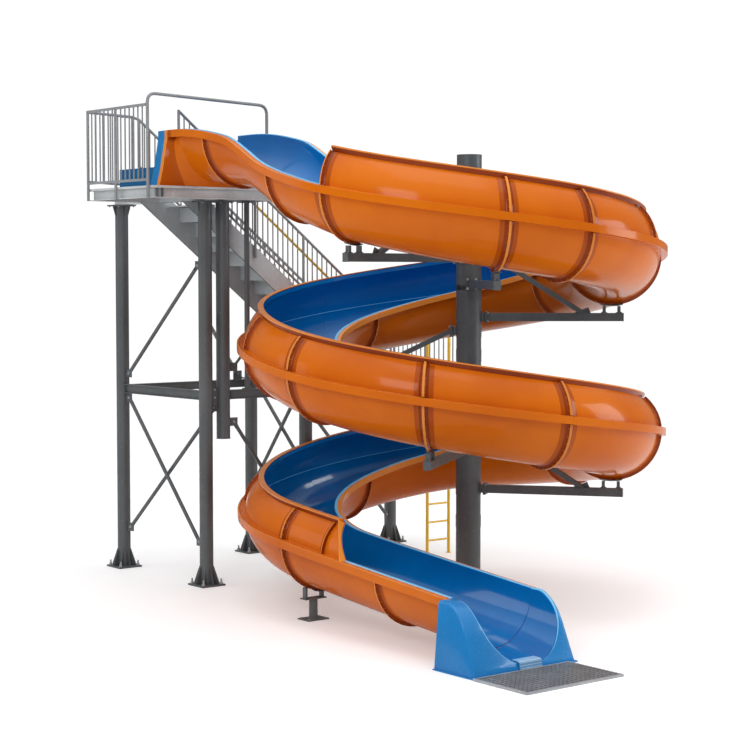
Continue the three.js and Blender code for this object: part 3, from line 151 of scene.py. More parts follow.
def block(lo, hi, turn=0, origin=(0, 0, 0)):
    corners = [(lo[0], lo[1]), (hi[0], lo[1]), (hi[0], hi[1]), (lo[0], hi[1])]
    spin = Matrix.Rotation(turn, 4, "Z")
    return sweep([[spin @ Vector((x, y, z)) + Vector(origin) for x, y in corners] for z in (lo[2], hi[2])])


def slab(x, y, half_x, half_y, low, high, turn=0):
    """A block round an upright line."""
    return block((x - half_x, y - half_y, low), (x + half_x, y + half_y, high), turn)


def corners_round(x, y, half_x, half_y):
    return [(x + dx * half_x, y + dy * half_y) for dx, dy in ((1, 1), (-1, 1), (-1, -1), (1, -1))]


def beam(start, end, width, depth):
    """A rectangular bar whose width stays level."""
    u, v = across(end - start)
    u, v = u * (width / 2), v * (depth / 2)
    return sweep([[p - u - v, p + u - v, p + u + v, p - u + v] for p in (start, end)])


def plate(outline, origin, u, v, thickness):
    """A flat outline in the directions u and v, thickened evenly to both sides."""
    n = u.cross(v).normalized() * (thickness / 2)
    ring = [Vector(origin) + u * a + v * b for a, b in outline]
    return sweep([[p - n for p in ring], [p + n for p in ring]])


def bolt(shape, place, axis, radius=0.012, height=0.011, paint=0, washer=True):
    """A hexagon head on a washer, standing on a face at the given place."""
    start = 0.0
    if washer:
        start = radius * 0.25
        shape.add(disc_stack(place, axis, [(0, radius * 1.5), (start, radius * 1.5)], 10), paint=paint)
    levels = [(start, radius), (height * 0.82, radius), (height, radius * 0.82)]
    shape.add(disc_stack(place, axis, levels, 6), paint=paint)


def anchor(shape, x, y, z):
    """A nut on a washer with the end of its anchor bolt standing proud."""
    for levels, sides in (
        ([(0, 0.030), (0.005, 0.030)], 16),
        ([(0.005, 0.021), (0.025, 0.021), (0.029, 0.018)], 6),
        ([(0.029, 0.012), (0.066, 0.012), (0.070, 0.009)], 12),
    ):
        shape.add(disc_stack((x, y, z), UP, levels, sides), paint=1)


def bend(corners, radius, steps=8):
    """A path through corner points with each inner corner rounded."""
    corners = [Vector(c) for c in corners]
    path = [corners[0]]
    for before, corner, after in zip(corners, corners[1:], corners[2:]):
        first = corner + (before - corner).normalized() * radius
        last = corner + (after - corner).normalized() * radius
        for t in (k / steps for k in range(steps + 1)):
            path.append(first * (1 - t) ** 2 + corner * (2 * t * (1 - t)) + last * t**2)
    return path + [corners[-1]]


def soften(piece, width):
    rounding = piece.modifiers.new("rounding", "BEVEL")
    rounding.width = width
    rounding.segments = 2
    rounding.limit_method = "ANGLE"
    rounding.angle_limit = math.radians(50)


def make_piece(name, shape, paints, replaces=(), bevel=0.0, smooth=35.0):
    mesh = bpy.data.meshes.new(name)
    mesh.from_pydata(shape.vertices, [], shape.faces)
    for paint in paints:
        mesh.materials.append(paint)
    mesh.polygons.foreach_set("material_index", shape.paints)
    work = bmesh.new()
    work.from_mesh(mesh)
    bmesh.ops.recalc_face_normals(work, faces=work.faces)
    work.to_mesh(mesh)
    work.free()
    mesh.shade_smooth()
    mesh.set_sharp_from_angle(angle=math.radians(smooth))
    piece = bpy.data.objects.new(name, mesh)
    bpy.context.scene.collection.objects.link(piece)
    if bevel:
        soften(piece, bevel)
    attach(piece, "root")
    if replaces:
        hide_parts(*replaces)


# Materials
class Tree:
    """A node tree, with short ways to add to it."""

    def __init__(self, owner):
        owner.use_nodes = True
        self.nodes, self.links = owner.node_tree.nodes, owner.node_tree.links

    def fill(self, node, **inputs):
        """Sets or links a node's inputs, with _ for each space in their names."""
        for name, value in inputs.items():
            socket = node.inputs[name.replace("_", " ")]
            if isinstance(value, bpy.types.NodeSocket):
                self.links.new(value, socket)
            else:
                socket.default_value = value
        return node

    def new(self, kind, **inputs):
        return self.fill(self.nodes.new("ShaderNode" + kind), **inputs)

    def noise(self, scale, detail=4.0, stretch=(1, 1, 1)):
        """A noise texture in the object's own coordinates, stretched along chosen axes."""
        mapping = self.new("Mapping", Vector=self.new("TexCoord").outputs["Object"], Scale=stretch)
        texture = self.new("TexNoise", Vector=mapping.outputs["Vector"], Scale=scale, Detail=detail)
        return texture.outputs["Fac"]

    def spread(self, source, low, high, to_low, to_high):
        ends = {"From_Min": low, "From_Max": high, "To_Min": to_low, "To_Max": to_high}
        return self.new("MapRange", Value=source, **ends).outputs["Result"]

    def blend(self, share, first, second):
        mix = self.new("Mix")
        mix.data_type = "RGBA"
        self.fill(mix, Factor=share)
        for socket, color in ((mix.inputs[6], first), (mix.inputs[7], second)):
            if isinstance(color, tuple):
                socket.default_value = (*color, 1)
            else:
                self.links.new(color, socket)
        return mix.outputs[2]

    def bumps(self, shader, *layers):
        """Layers of bump, each a height source, a strength and a depth in metres."""
        normal = None
        for height, strength, distance in layers:
            bump = self.new("Bump", Strength=strength, Distance=distance, Height=height)
            if normal:
                self.fill(bump, Normal=normal)
            normal = bump.outputs["Normal"]
        self.fill(shader, Normal=normal)


def start_material(name, color, roughness, metallic=0.0):
    material = bpy.data.materials.new(name)
    tree = Tree(material)
    shader = tree.nodes["Principled BSDF"]
    tree.fill(shader, Base_Color=(*color, 1), Roughness=roughness, Metallic=metallic)
    return material, tree, shader


def gel_coat(name, color, shade, rough=(0.16, 0.30), coat=0.14, gloss=0.10):
    """Glossy moulded resin: slow colour drift, faint run marks, a wavy surface and fine scuffs."""
    material, tree, shader = start_material(name, color, rough[0])
    drift = tree.spread(tree.noise(0.9, 3), 0.35, 0.68, 0, 1)
    runs = tree.spread(tree.noise(7, 6, (1, 1, 0.12)), 0.58, 0.78, 0, 0.35)
    top = tree.blend(runs, tree.blend(drift, color, shade), shade)
    scuffs = tree.spread(tree.noise(38, 8), 0.45, 0.72, *rough)
    tree.fill(shader, Base_Color=top, Roughness=scuffs, Coat_Weight=coat, Coat_Roughness=0.07)
    tree.fill(shader, Specular_IOR_Level=gloss)
    tree.bumps(shader, (tree.noise(2.2, 2), 0.25, 0.006), (tree.noise(240, 2), 0.06, 0.0006))
    return material


def paint_coat(name, color, shade, rough=(0.36, 0.52), metallic=0.0, grain=320, under=None):
    """Sprayed paint on steel: orange-peel grain, dust, rubbed patches and, when an under colour is given,
    painted shade on faces that look down.
    """
    material, tree, shader = start_material(name, color, rough[0], metallic)
    dust = tree.spread(tree.noise(3.2, 8, (1, 1, 0.35)), 0.38, 0.7, 0, 1)
    rubbed = tree.spread(tree.noise(26, 10), 0.62, 0.7, 0, 0.3)
    lighter = tuple(min(c * 1.9 + 0.02, 1) for c in color)
    top = tree.blend(rubbed, tree.blend(dust, color, shade), lighter)
    if under:
        # Faces that look down blend to the under colour: painted shade.
        facing = tree.new("SeparateXYZ", Vector=tree.new("NewGeometry").outputs["Normal"])
        top = tree.blend(tree.spread(facing.outputs["Z"], -0.3, -0.7, 0, 1), top, under)
    patchy = tree.spread(tree.noise(12, 6), 0.35, 0.7, *rough)
    tree.fill(shader, Base_Color=top, Roughness=patchy)
    tree.bumps(shader, (tree.noise(grain, 3), 0.10, 0.0006), (tree.noise(9, 3), 0.10, 0.002))
    return material


ORANGE = gel_coat("orange_gel_coat", (0.70, 0.160, 0.0035), (0.60, 0.120, 0.003))
# A darkened copy of the orange: painted half shade on the entry's skirt panel and the outer part of rib
# flares.
ORANGE_PAINTED_HALF_SHADE = gel_coat("orange_painted_half_shade", (0.46, 0.085, 0.002), (0.40, 0.066, 0.002))
# A darkened copy of the orange: painted shade on rib sides and flares, the band's groove and the lip's
# underside.
ORANGE_PAINTED_SHADE = gel_coat("orange_painted_shade", (0.30, 0.045, 0.002), (0.22, 0.030, 0.002))
# A lighter copy of the orange: painted highlight on rims, rib edges, the band's top, the lip, the wall's end
# plate and the entry's edge strip.
ORANGE_PAINTED_HIGHLIGHT = gel_coat("orange_painted_highlight", (0.84, 0.290, 0.050), (0.76, 0.240, 0.035))
BLUE = gel_coat("blue_gel_coat", (0.001, 0.172, 0.50), (0.0008, 0.132, 0.40), (0.13, 0.26), 0.6, 0.25)
# A pale copy of the blue: painted highlight on the liner's rolled edges and the run-out's lips; the liner's
# seam takes it too.
BLUE_PAINTED_HIGHLIGHT = gel_coat("blue_painted_highlight", (0.22, 0.60, 0.92), (0.16, 0.52, 0.86))
BLUE_BLOCK = gel_coat("blue_block", (0.012, 0.230, 0.58), (0.008, 0.19, 0.50), (0.18, 0.34), 0.3, 0.2)
TUB_BLUE = gel_coat("tub_blue", (0.006, 0.150, 0.36), (0.005, 0.120, 0.30), (0.18, 0.34), 0.3, 0.2)
STEEL = paint_coat("frame_paint", (0.092, 0.102, 0.108), (0.122, 0.132, 0.137), metallic=0.15)
STEEL_DARK = paint_coat("frame_paint_dark", (0.095, 0.106, 0.110), (0.125, 0.136, 0.140))
WALK_FINISH = ((0.38, 0.55), 0.1, 120)
# Colours painted as shade on the deck's and stair's faces that look down.
DECK_UNDERSIDE_SHADE, STAIR_UNDERSIDE_SHADE = (0.10, 0.105, 0.11), (0.035, 0.037, 0.040)
DECK_STEEL = paint_coat("deck_steel", (0.64, 0.67, 0.68), (0.52, 0.55, 0.56), *WALK_FINISH, DECK_UNDERSIDE_SHADE)
STAIR_STEEL = paint_coat("stair_steel", (0.56, 0.60, 0.62), (0.48, 0.52, 0.54), *WALK_FINISH, STAIR_UNDERSIDE_SHADE)
RAIL_STEEL = paint_coat("rail_steel", (0.30, 0.315, 0.325), (0.24, 0.25, 0.26), (0.30, 0.45), 0.2, 200)
YELLOW = paint_coat("yellow_paint", (0.98, 0.66, 0.050), (0.92, 0.58, 0.035), (0.28, 0.42))
GALVANISED = paint_coat("galvanised", (0.46, 0.48, 0.50), (0.36, 0.38, 0.40), (0.3, 0.5), 0.5, 60)
PAD_RUBBER = paint_coat("grip_pad", (0.13, 0.36, 0.62), (0.10, 0.30, 0.54), (0.45, 0.62))
PAD_STUD = paint_coat("grip_stud", (0.62, 0.74, 0.86), (0.52, 0.66, 0.80), (0.40, 0.55))
# Nearly black: painted shade of the drain pit under the grate.
PIT_PAINTED_SHADE = paint_coat("drain_pit_painted_shade", (0.016, 0.017, 0.018), (0.030, 0.030, 0.031), (0.6, 0.8))


def steel_piece(node, part, shape, bevel, paints=(STEEL, GALVANISED)):
    """A piece of the steelwork in place of its solid."""
    make_piece(f"{node}_{part}", shape, paints, (node,), bevel=bevel)


# Flume path
def flange_height(angle):
    """Height of the mid flange, by a smooth curve through the table."""
    table = FLANGE_HEIGHTS
    last = len(table) - 2
    i = 0
    while i < last and table[i + 1][0] < angle:
        i += 1

    def slope(k):
        (angle0, height0), (angle1, height1) = table[min(max(k, 0), last):][:2]
        return (height1 - height0) / (angle1 - angle0)

    start_slope, end_slope = (slope(i - 1) + slope(i)) / 2, (slope(i) + slope(i + 1)) / 2
    span = table[i + 1][0] - table[i][0]
    t = (angle - table[i][0]) / span
    return (
        (2 * t**3 - 3 * t**2 + 1) * table[i][1]
        + (t**3 - 2 * t**2 + t) * span * start_slope
        + (3 * t**2 - 2 * t**3) * table[i + 1][1]
        + (t**3 - t**2) * span * end_slope
    )


def beside_path(angle, outward=0.0, up=0.0):
    """A point beside the path: outward from the slide's centre, and up from the mid flange."""
    bend_turn = math.radians(min(max(angle, ENTRY_ANGLE), EXIT_ANGLE))
    straight = (math.radians(angle) - bend_turn) * PATH_RADIUS
    reach = PATH_RADIUS + outward
    x = reach * math.cos(bend_turn) - straight * math.sin(bend_turn)
    y = reach * math.sin(bend_turn) + straight * math.cos(bend_turn)
    return SLIDE + Vector((x, y, flange_height(angle) + up))


def path_degrees(length):
    return math.degrees(length / PATH_RADIUS)


def trough_depth(angle):
    """Depth of the trough against its normal depth, so that the first rib meets the deck."""
    entry = (flange_height(ENTRY_START + 1) - DECK_TOP) / 0.605
    t = (angle - DEEP_END) / (NORMAL_START - DEEP_END)
    return entry + (1 - entry) * min(max(t, 0), 1)


def round_point(radius, turn, angle):
    """A point of the round section at a turn in degrees: 0 is outward, -90 straight down."""
    outward = radius * math.cos(math.radians(turn))
    up = radius * math.sin(math.radians(turn))
    return outward, up * trough_depth(angle) if up < 0 else up


def turns_between(start, end, step=ARC_STEP):
    count = max(1, math.ceil(abs(end - start) / step))
    return [start + (end - start) * k / count for k in range(count + 1)]


def arc(radius, start, end, angle):
    return [round_point(radius, turn, angle) for turn in turns_between(start, end)]


# The shell's paints, among them painted shade and painted highlight, and where the entry's blue cheek, its
# edge strip in painted highlight and its skirt panel in painted half shade end
SHELL_PAINT, SHADE_PAINT, BLUE_PAINT, HIGHLIGHT_PAINT, HALF_SHADE_PAINT = range(5)
SHELL_FINISHES = (ORANGE, ORANGE_PAINTED_SHADE, BLUE_BLOCK, ORANGE_PAINTED_HIGHLIGHT, ORANGE_PAINTED_HALF_SHADE)
CHEEK_END, STRIP_END, PANEL_END = 111.3, 113.2, 115.6

# The skirt that stands on the deck at the start: turn, reach and height from the mid flange
SKIRT_TURNS = (-25.0, -51.0, -77.0)
SKIRT_REACH = (0.675, 0.715, 0.765)
SKIRT_UP = (-0.210, -0.430)
SKIRT_TOP_TURN = -4.0


def skirted(angle, turn, outward, up):
    """Moves an outer point of the round section out to the skirt, near the start."""
    t = min((SKIRT_END - angle) / (SKIRT_END - STRIP_END), 1)
    if t <= 0 or turn > SKIRT_TOP_TURN or turn < -180 - SKIRT_TOP_TURN:
        return outward, up
    side = 1 if turn > -90 else -1
    turn = turn if side > 0 else -180 - turn
    foot = DECK_TOP + 0.001 - flange_height(angle)
    reach, half = (BAND_REACH, BAND_HALF) if side > 0 else (RIM_REACH, RIM_HALF)
    edge = (SKIRT_TOP_TURN, reach - 0.001, -half)
    keys = [edge, *zip(SKIRT_TURNS, SKIRT_REACH, (*SKIRT_UP, foot)), (-90.0, 0.0, foot)]
    for (t0, x0, z0), (t1, x1, z1) in zip(keys, keys[1:]):
        if t1 <= turn <= t0:
            share = (t0 - turn) / (t0 - t1)
            to_x, to_z = x0 + (x1 - x0) * share, z0 + (z1 - z0) * share
    drop = 1 if turn < SKIRT_TURNS[1] - 13 else t
    t *= min((SKIRT_TOP_TURN - turn) / 6, 1) if angle > STRIP_END else 1
    return outward + (side * to_x - outward) * t, max(up + (to_z - up) * drop, foot)


def sunk(angle, up):
    """Height of a wall point: the wall sinks slowly along the last turn and a half."""
    share = min(max((angle - WALL_SINK_START) / (EXIT_ANGLE - WALL_SINK_START), 0), 1)
    return BAND_HALF + (up - BAND_HALF) * (1 - WALL_SINK * share) if up > BAND_HALF else up


def placed(points, angle, tilt=0.0):
    """Section points in the frame. The wall's top leans back along the path by the tilt."""
    ring = []
    for outward, up in points:
        climb = max(up - BAND_HALF, 0) / (LIP_TOP - BAND_HALF)
        ring.append(beside_path(angle - tilt * climb, outward, sunk(angle, up)))
    return ring


def shell_outline(angle, walled):
    """The orange shell's closed outline with its paints: rims, round outside, band, wall and lip."""
    points = [(-SHELL_INNER, RIM_HALF), (-RIM_REACH, RIM_HALF), (-RIM_REACH, -RIM_HALF)]
    # The inner rim's top and outer face are painted highlight.
    paints = [HIGHLIGHT_PAINT, HIGHLIGHT_PAINT, SHELL_PAINT]
    for turn in turns_between(-176.5, -4.6):
        points.append(skirted(angle, turn, *round_point(SHELL_OUTER, turn, angle)))
        paints.append(SHELL_PAINT)
    groove = BAND_REACH - 0.030
    points += [
        (BAND_REACH, -BAND_HALF), (BAND_REACH, BAND_HALF), (groove + 0.006, BAND_HALF),
        (groove + 0.003, BAND_HALF - 0.008), (groove, BAND_HALF),
    ]
    # The band's top strip is painted highlight and its groove painted shade.
    paints += [SHELL_PAINT, HIGHLIGHT_PAINT, SHADE_PAINT, SHADE_PAINT, SHELL_PAINT]
    if walled:
        wall = arc(SHELL_OUTER, 4.6, WALL_TOP - 4, angle)
        across_top = math.cos(math.radians(WALL_TOP))
        lip_in = LINER_INNER * across_top - 0.0025
        under = LIP_TOP - LIP_THICK
        points += wall + [
            (LIP_REACH, LIP_TOP - LIP_EDGE), (LIP_REACH, LIP_TOP), (lip_in, LIP_TOP), (lip_in, under),
            (SHELL_INNER * across_top, under),
        ]
        # The lip's slanted underside and inner faces are painted shade, its edge and top painted highlight.
        paints += [SHELL_PAINT] * (len(wall) - 1) + [SHADE_PAINT, HIGHLIGHT_PAINT, HIGHLIGHT_PAINT]
        paints += [SHADE_PAINT, SHADE_PAINT, SHELL_PAINT]
    else:
        points.append((SHELL_INNER, BAND_HALF))
        paints.append(SHELL_PAINT)
    inside = arc(SHELL_INNER, WALL_TOP if walled else 0, -180, angle)
    return points + inside, paints + [SHELL_PAINT] * len(inside)


def liner_outline(angle, walled):
    """The blue liner's closed outline and the points painted pale as a highlight: its edges roll over open
    rims.
    """
    roll, rise, seat = 0.026, 0.008, 0.0006
    outer = SHELL_INNER - seat

    def rolled_edge(side, height, inner):
        return [
            (side * outer, height + seat), (side * (outer + roll + 0.003), height + seat),
            (side * (outer + roll), height + rise), (side * (inner + 0.004), height + rise),
            (side * inner, height + 0.004),
        ]

    top = WALL_TOP if walled else 0
    near_edge = rolled_edge(-1, RIM_HALF, LINER_INNER)
    points = [(-LINER_INNER + 0.001, RIM_HALF), *reversed(near_edge)]
    points += arc(outer, -180, top, angle)
    if walled:
        across_top = math.cos(math.radians(top))
        edge_up = LIP_TOP - LIP_THICK - seat
        points += [(outer * across_top, edge_up), (LINER_INNER * across_top - 0.001, edge_up)]
    else:
        points += rolled_edge(1, BAND_HALF, LINER_INNER - 0.001)
    points += arc(LINER_INNER, top, -180, angle)
    # Faces on the rolled edges are painted pale as a highlight.
    pale = {i for i, (o, u) in enumerate(points) if u > RIM_HALF - 0.001 and (o < 0 or not walled)}
    return points, pale


# A rib's half across the path: distance from its middle and radius, then the paint of what follows
RIB_EDGE, RIB_FOOT = 0.012, 0.556
# The flare is painted shade, darkest at the rib and fading towards the shell.
RIB_FLARE = [
    (RIB_EDGE, RIB_OUTER, SHADE_PAINT), (0.0135, 0.588, SHADE_PAINT), (0.022, 0.5745, SHADE_PAINT),
    (0.042, 0.5655, HALF_SHADE_PAINT), (0.085, 0.5603, SHELL_PAINT), (0.085, RIB_FOOT, SHELL_PAINT),
]
LOWER_RIB, UPPER_RIB = (-176.4, -4.7), (4.9, 47.5)
JOINT_GAP = 0.0006
SMALL_BOLT = (0.0075, 0.007, 0, False)


def rib_arc(shape, angle, sides, turn_from, turn_to):
    """A moulded rib round part of the section, with a flare on each named side: its outer edge is painted
    highlight, its sides and flares painted shade.
    """
    left, right = (
        [(side * d, r, p) for d, r, p in RIB_FLARE] if side in sides
        else [(-side * JOINT_GAP, RIB_OUTER, SHADE_PAINT), (-side * JOINT_GAP, RIB_FOOT, SHELL_PAINT)]
        for side in (-1, 1)
    )
    outline = [(d, r) for d, r, _ in left[::-1] + right]
    paints = [p for _, _, p in left[-2::-1]] + [HIGHLIGHT_PAINT] + [p for _, _, p in right]
    rings = []
    for turn in turns_between(turn_from, turn_to):
        ring = []
        for d, r in outline:
            outward, up = round_point(r, turn, angle)
            ring.append(beside_path(angle + path_degrees(d), outward, sunk(angle, up)))
        rings.append(ring)
    shape.add(sweep(rings), paint=paints * (len(rings) - 1) + [SHADE_PAINT, SHADE_PAINT])


def add_rib(shape, angle, walled, sides=(-1, 1), lower=True):
    """A cross rib with small painted bolts, on the named sides of the angle."""
    along = (beside_path(angle + 0.05) - beside_path(angle - 0.05)).normalized()
    for first, last in ([LOWER_RIB] if lower else []) + ([UPPER_RIB] if walled else []):
        rib_arc(shape, angle, sides, first, last)
        for side in sides:
            face = angle + side * path_degrees(RIB_EDGE + 0.0008)
            for turn in turns_between(first + 5, last - 5, 9.0):
                outward, up = round_point(RIB_OUTER - 0.011, turn, angle)
                bolt(shape, beside_path(face, outward, sunk(angle, up)), along * side, *SMALL_BOLT)


def wall_end_plate(shape, angle):
    """The leaning plate that closes the wall: straight outside, from the lip down to the band."""
    outline = [(BAND_REACH - 0.006, BAND_HALF + 0.0005), (LIP_REACH + 0.004, LIP_TOP - 0.004)]
    outline += arc(SHELL_OUTER - 0.004, WALL_TOP, 4.7, angle)
    thick = path_degrees(0.014)
    rings = [placed(outline, at, WALL_LEAN) for at in (angle - thick, angle + 0.1 * thick)]
    # The whole end plate is painted highlight.
    shape.add(sweep(rings), paint=HIGHLIGHT_PAINT)


def band_bolts(shape, start, end):
    """Painted bolts along the top of the mid band."""
    step = math.degrees(0.28 / (PATH_RADIUS + BAND_REACH))
    count = max(1, int((end - start - 2) / step))
    for k in range(count + 1):
        angle = start + 1 + (end - start - 2) * k / count
        bolt(shape, beside_path(angle, 0.598, BAND_HALF + 0.0005), UP, *SMALL_BOLT)


def station_paints(start, outline_paints, angle):
    """Paints of the shell's faces that start at a station: the entry begins with a blue cheek, then an edge
    strip in painted highlight and a skirt panel in painted half shade.
    """
    if start > SKIRT_END or angle > PANEL_END - 0.001:
        return outline_paints
    if angle < STRIP_END - 0.1:
        return [BLUE_PAINT if angle < CHEEK_END - 0.1 else HIGHLIGHT_PAINT] * len(outline_paints)
    return [HALF_SHADE_PAINT if p == SHELL_PAINT else p for p in outline_paints]


def add_shell(name, start, end, places, walled, tilts, end_ribs):
    shape = Shape()
    rings = []
    paints = []
    for angle, tilt in zip(places, tilts):
        points, outline_paints = shell_outline(angle, walled)
        rings.append(placed(points, angle, tilt))
        paints += station_paints(start, outline_paints, angle) if angle < places[-1] else []
    shape.add(sweep(rings), paint=paints + [SHELL_PAINT, SHELL_PAINT])
    for rib in FULL_RIBS + WALL_RIBS:
        if start < rib < end:
            add_rib(shape, rib, walled, lower=rib in FULL_RIBS)
    for at, side, wanted in ((start, 1, end_ribs[0]), (end, -1, end_ribs[1])):
        if wanted:
            add_rib(shape, at, walled, (side,))
    if start > SKIRT_END:
        band_bolts(shape, start, end)
    if tilts[-1]:
        rib_arc(shape, WALL_END_RIB, (-1,), *UPPER_RIB)
        wall_end_plate(shape, end)
    make_piece(name + "_shell", shape, SHELL_FINISHES, (name,), bevel=0.0035)


def add_liner(name, places, walled, tilts):
    liner = Shape()
    rings = []
    for angle, tilt in zip(places, tilts):
        points, pale = liner_outline(angle, walled)
        rings.append(placed(points, angle, tilt))
    count = len(rings[0])
    paints = [int(k in pale and (k + 1) % count in pale) for k in range(count)]
    liner.add(sweep(rings), paint=paints * (len(rings) - 1) + [0, 0])
    if walled:
        # The seam is drawn in the pale blue of the painted highlight.
        groove = ((0.5402, 1.0), (0.5402, 1.9), (0.5375, 1.7), (0.5375, 1.2))
        seam = [placed([round_point(r, turn, a) for r, turn in groove], a) for a in places]
        liner.add(sweep(seam), paint=1)
    make_piece(name + "_liner", liner, (BLUE, BLUE_PAINTED_HIGHLIGHT))


def add_section(name, start, end, walled, lean=0.0, end_ribs=(True, True)):
    """One flume section: shell with its ribs and band, and the liner inside it."""
    gap = path_degrees(JOINT_GAP)
    places = turns_between(start + gap, end - gap, STATION_STEP)
    if start < SKIRT_END < end:
        near = turns_between(start + gap, SKIRT_END, STATION_STEP)
        places = sorted({*places[1:], *near, CHEEK_END, STRIP_END, PANEL_END})
    tilts = [lean * (angle - start) / (end - start) for angle in places]
    add_shell(name, start, end, places, walled, tilts, end_ribs)
    add_liner(name, places, walled, tilts)


def add_flume():
    add_section("entry_flume", ENTRY_START, WALL_START, False, end_ribs=(False, True))
    for i, (start, end) in enumerate(zip(TURN_JOINTS, TURN_JOINTS[1:])):
        add_section(f"turn_section_{i + 1}", start, end, True)
    add_section("exit_section_walled", TURN_JOINTS[-1], WALL_END, True, WALL_LEAN, (True, False))
    add_section("exit_section_open", WALL_END, EXIT_END, False, end_ribs=(False, False))


# Mast and arms
MAST_RADIUS = 0.152
MAST_HEIGHT = 5.450
MAST_PLATE, MAST_PLATE_TOP = 0.310, 0.030
PAD_FACE, PAD_HALF, PAD_PLATE = 0.207, 0.070, 0.018
ARM_WIDTH, ARM_DEPTH, ARM_OVERHANG = 0.080, 0.100, 0.145
STRUT, STRUT_RISE, STRUT_REACH = 0.060, 0.780, 0.8
SADDLE_SPREAD, SADDLE_LEG, SADDLE_GAP, SADDLE_TURN = 0.090, 0.034, 0.089, 13.0
ARMS = [
    ("arm_upper_right", 321.5, True, True), ("arm_upper_front", 243.7, False, True),
    ("arm_upper_left", 195.0, True, True), ("arm_upper_back", 402.0, True, True),
    ("arm_middle_left", 490.0, True, False), ("arm_lower_right", 668.5, True, True),
    ("arm_lower_front", 582.4, False, True), ("arm_lower_back", 762.0, True, True),
]


def gussets(shape, x, y, radius, half, low, high):
    """Eight upright triangular plates round a post, from a low edge to a high edge."""
    rise = high - low
    inner, outer = radius - 0.004, half - 0.012
    outline = [(inner, 0), (outer, 0), (outer, rise * 0.11), (radius + 0.006, rise), (inner, rise)]
    for k in range(8):
        shape.add(plate(outline, (x, y, low), level_way(k * math.pi / 4), UP, 0.012))


def arm_layout(angle, under_rib):
    """An arm's turn round the mast, its reach to the flume's middle and its beam's top."""
    place = beside_path(angle)
    depth = (SADDLE_REACH - 0.001 if under_rib else SHELL_OUTER) * trough_depth(angle)
    level = min(flange_height(angle + 1), flange_height(angle - 1))
    return math.atan2(place.y, place.x), math.hypot(place.x, place.y), level - depth - SADDLE_GAP


def add_mast():
    top = MAST_HEIGHT
    rim = [
        (MAST_PLATE_TOP - 0.001, MAST_RADIUS), (top - 0.006, MAST_RADIUS), (top - 0.006, MAST_RADIUS + 0.002),
        (top - 0.001, MAST_RADIUS + 0.002), (top, MAST_RADIUS - 0.003),
    ]
    weld = [(MAST_PLATE_TOP, MAST_RADIUS + 0.010), (MAST_PLATE_TOP + 0.012, MAST_RADIUS)]
    shape = Shape(slab(0, 0, MAST_PLATE, MAST_PLATE, 0, MAST_PLATE_TOP))
    shape.add(disc_stack((0, 0, 0), UP, rim, 72), disc_stack((0, 0, 0), UP, weld, 72))
    gussets(shape, 0, 0, MAST_RADIUS, MAST_PLATE, MAST_PLATE_TOP, 0.330)
    spot = MAST_PLATE - 0.055
    for x, y in corners_round(0, 0, spot, spot):
        anchor(shape, x, y, MAST_PLATE_TOP)
    for name, angle, strut, under_rib in ARMS:
        turn, _, beam_top = arm_layout(angle, under_rib)
        level = beam_top - ARM_DEPTH / 2
        for z in [level, level + STRUT_RISE][:1 + strut]:
            shape.add(
                block((MAST_RADIUS - 0.02, -0.042, z - 0.048), (PAD_FACE - 0.014, 0.042, z + 0.048), turn),
                block((PAD_FACE - 0.015, -PAD_HALF, z - PAD_HALF), (PAD_FACE, PAD_HALF, z + PAD_HALF), turn),
                tube([(0, 0, z - 0.075), (0, 0, z + 0.075)], MAST_RADIUS + 0.004, 48),
            )
    steel_piece("mast", "post", shape, 0.003)


def bolted_plate(shape, turn, z):
    """An arm's end plate against its pad on the mast, with four bolts."""
    face = PAD_FACE + PAD_PLATE
    shape.add(block((PAD_FACE + GAP, -PAD_HALF, z - PAD_HALF), (face, PAD_HALF, z + PAD_HALF), turn))
    spin = Matrix.Rotation(turn, 4, "Z")
    for side in (-1, 1):
        for rise in (-1, 1):
            place = spin @ Vector((face, side * 0.052, z + rise * 0.052))
            bolt(shape, place, level_way(turn), 0.011, 0.012, 1)


def cradle(shape, angle, under_rib):
    """A curved steel strip under the flume."""
    inner = SADDLE_REACH if under_rib else SHELL_OUTER + 0.001
    ends = (-90 - SADDLE_TURN, -90 + SADDLE_TURN)
    rings = []
    for at in (angle - path_degrees(0.032), angle + path_degrees(0.032)):
        points = arc(inner, *ends, at) + arc(inner + 0.009, *ends, at)[::-1]
        rings.append([beside_path(at, o, u) for o, u in points])
    shape.add(sweep(rings))


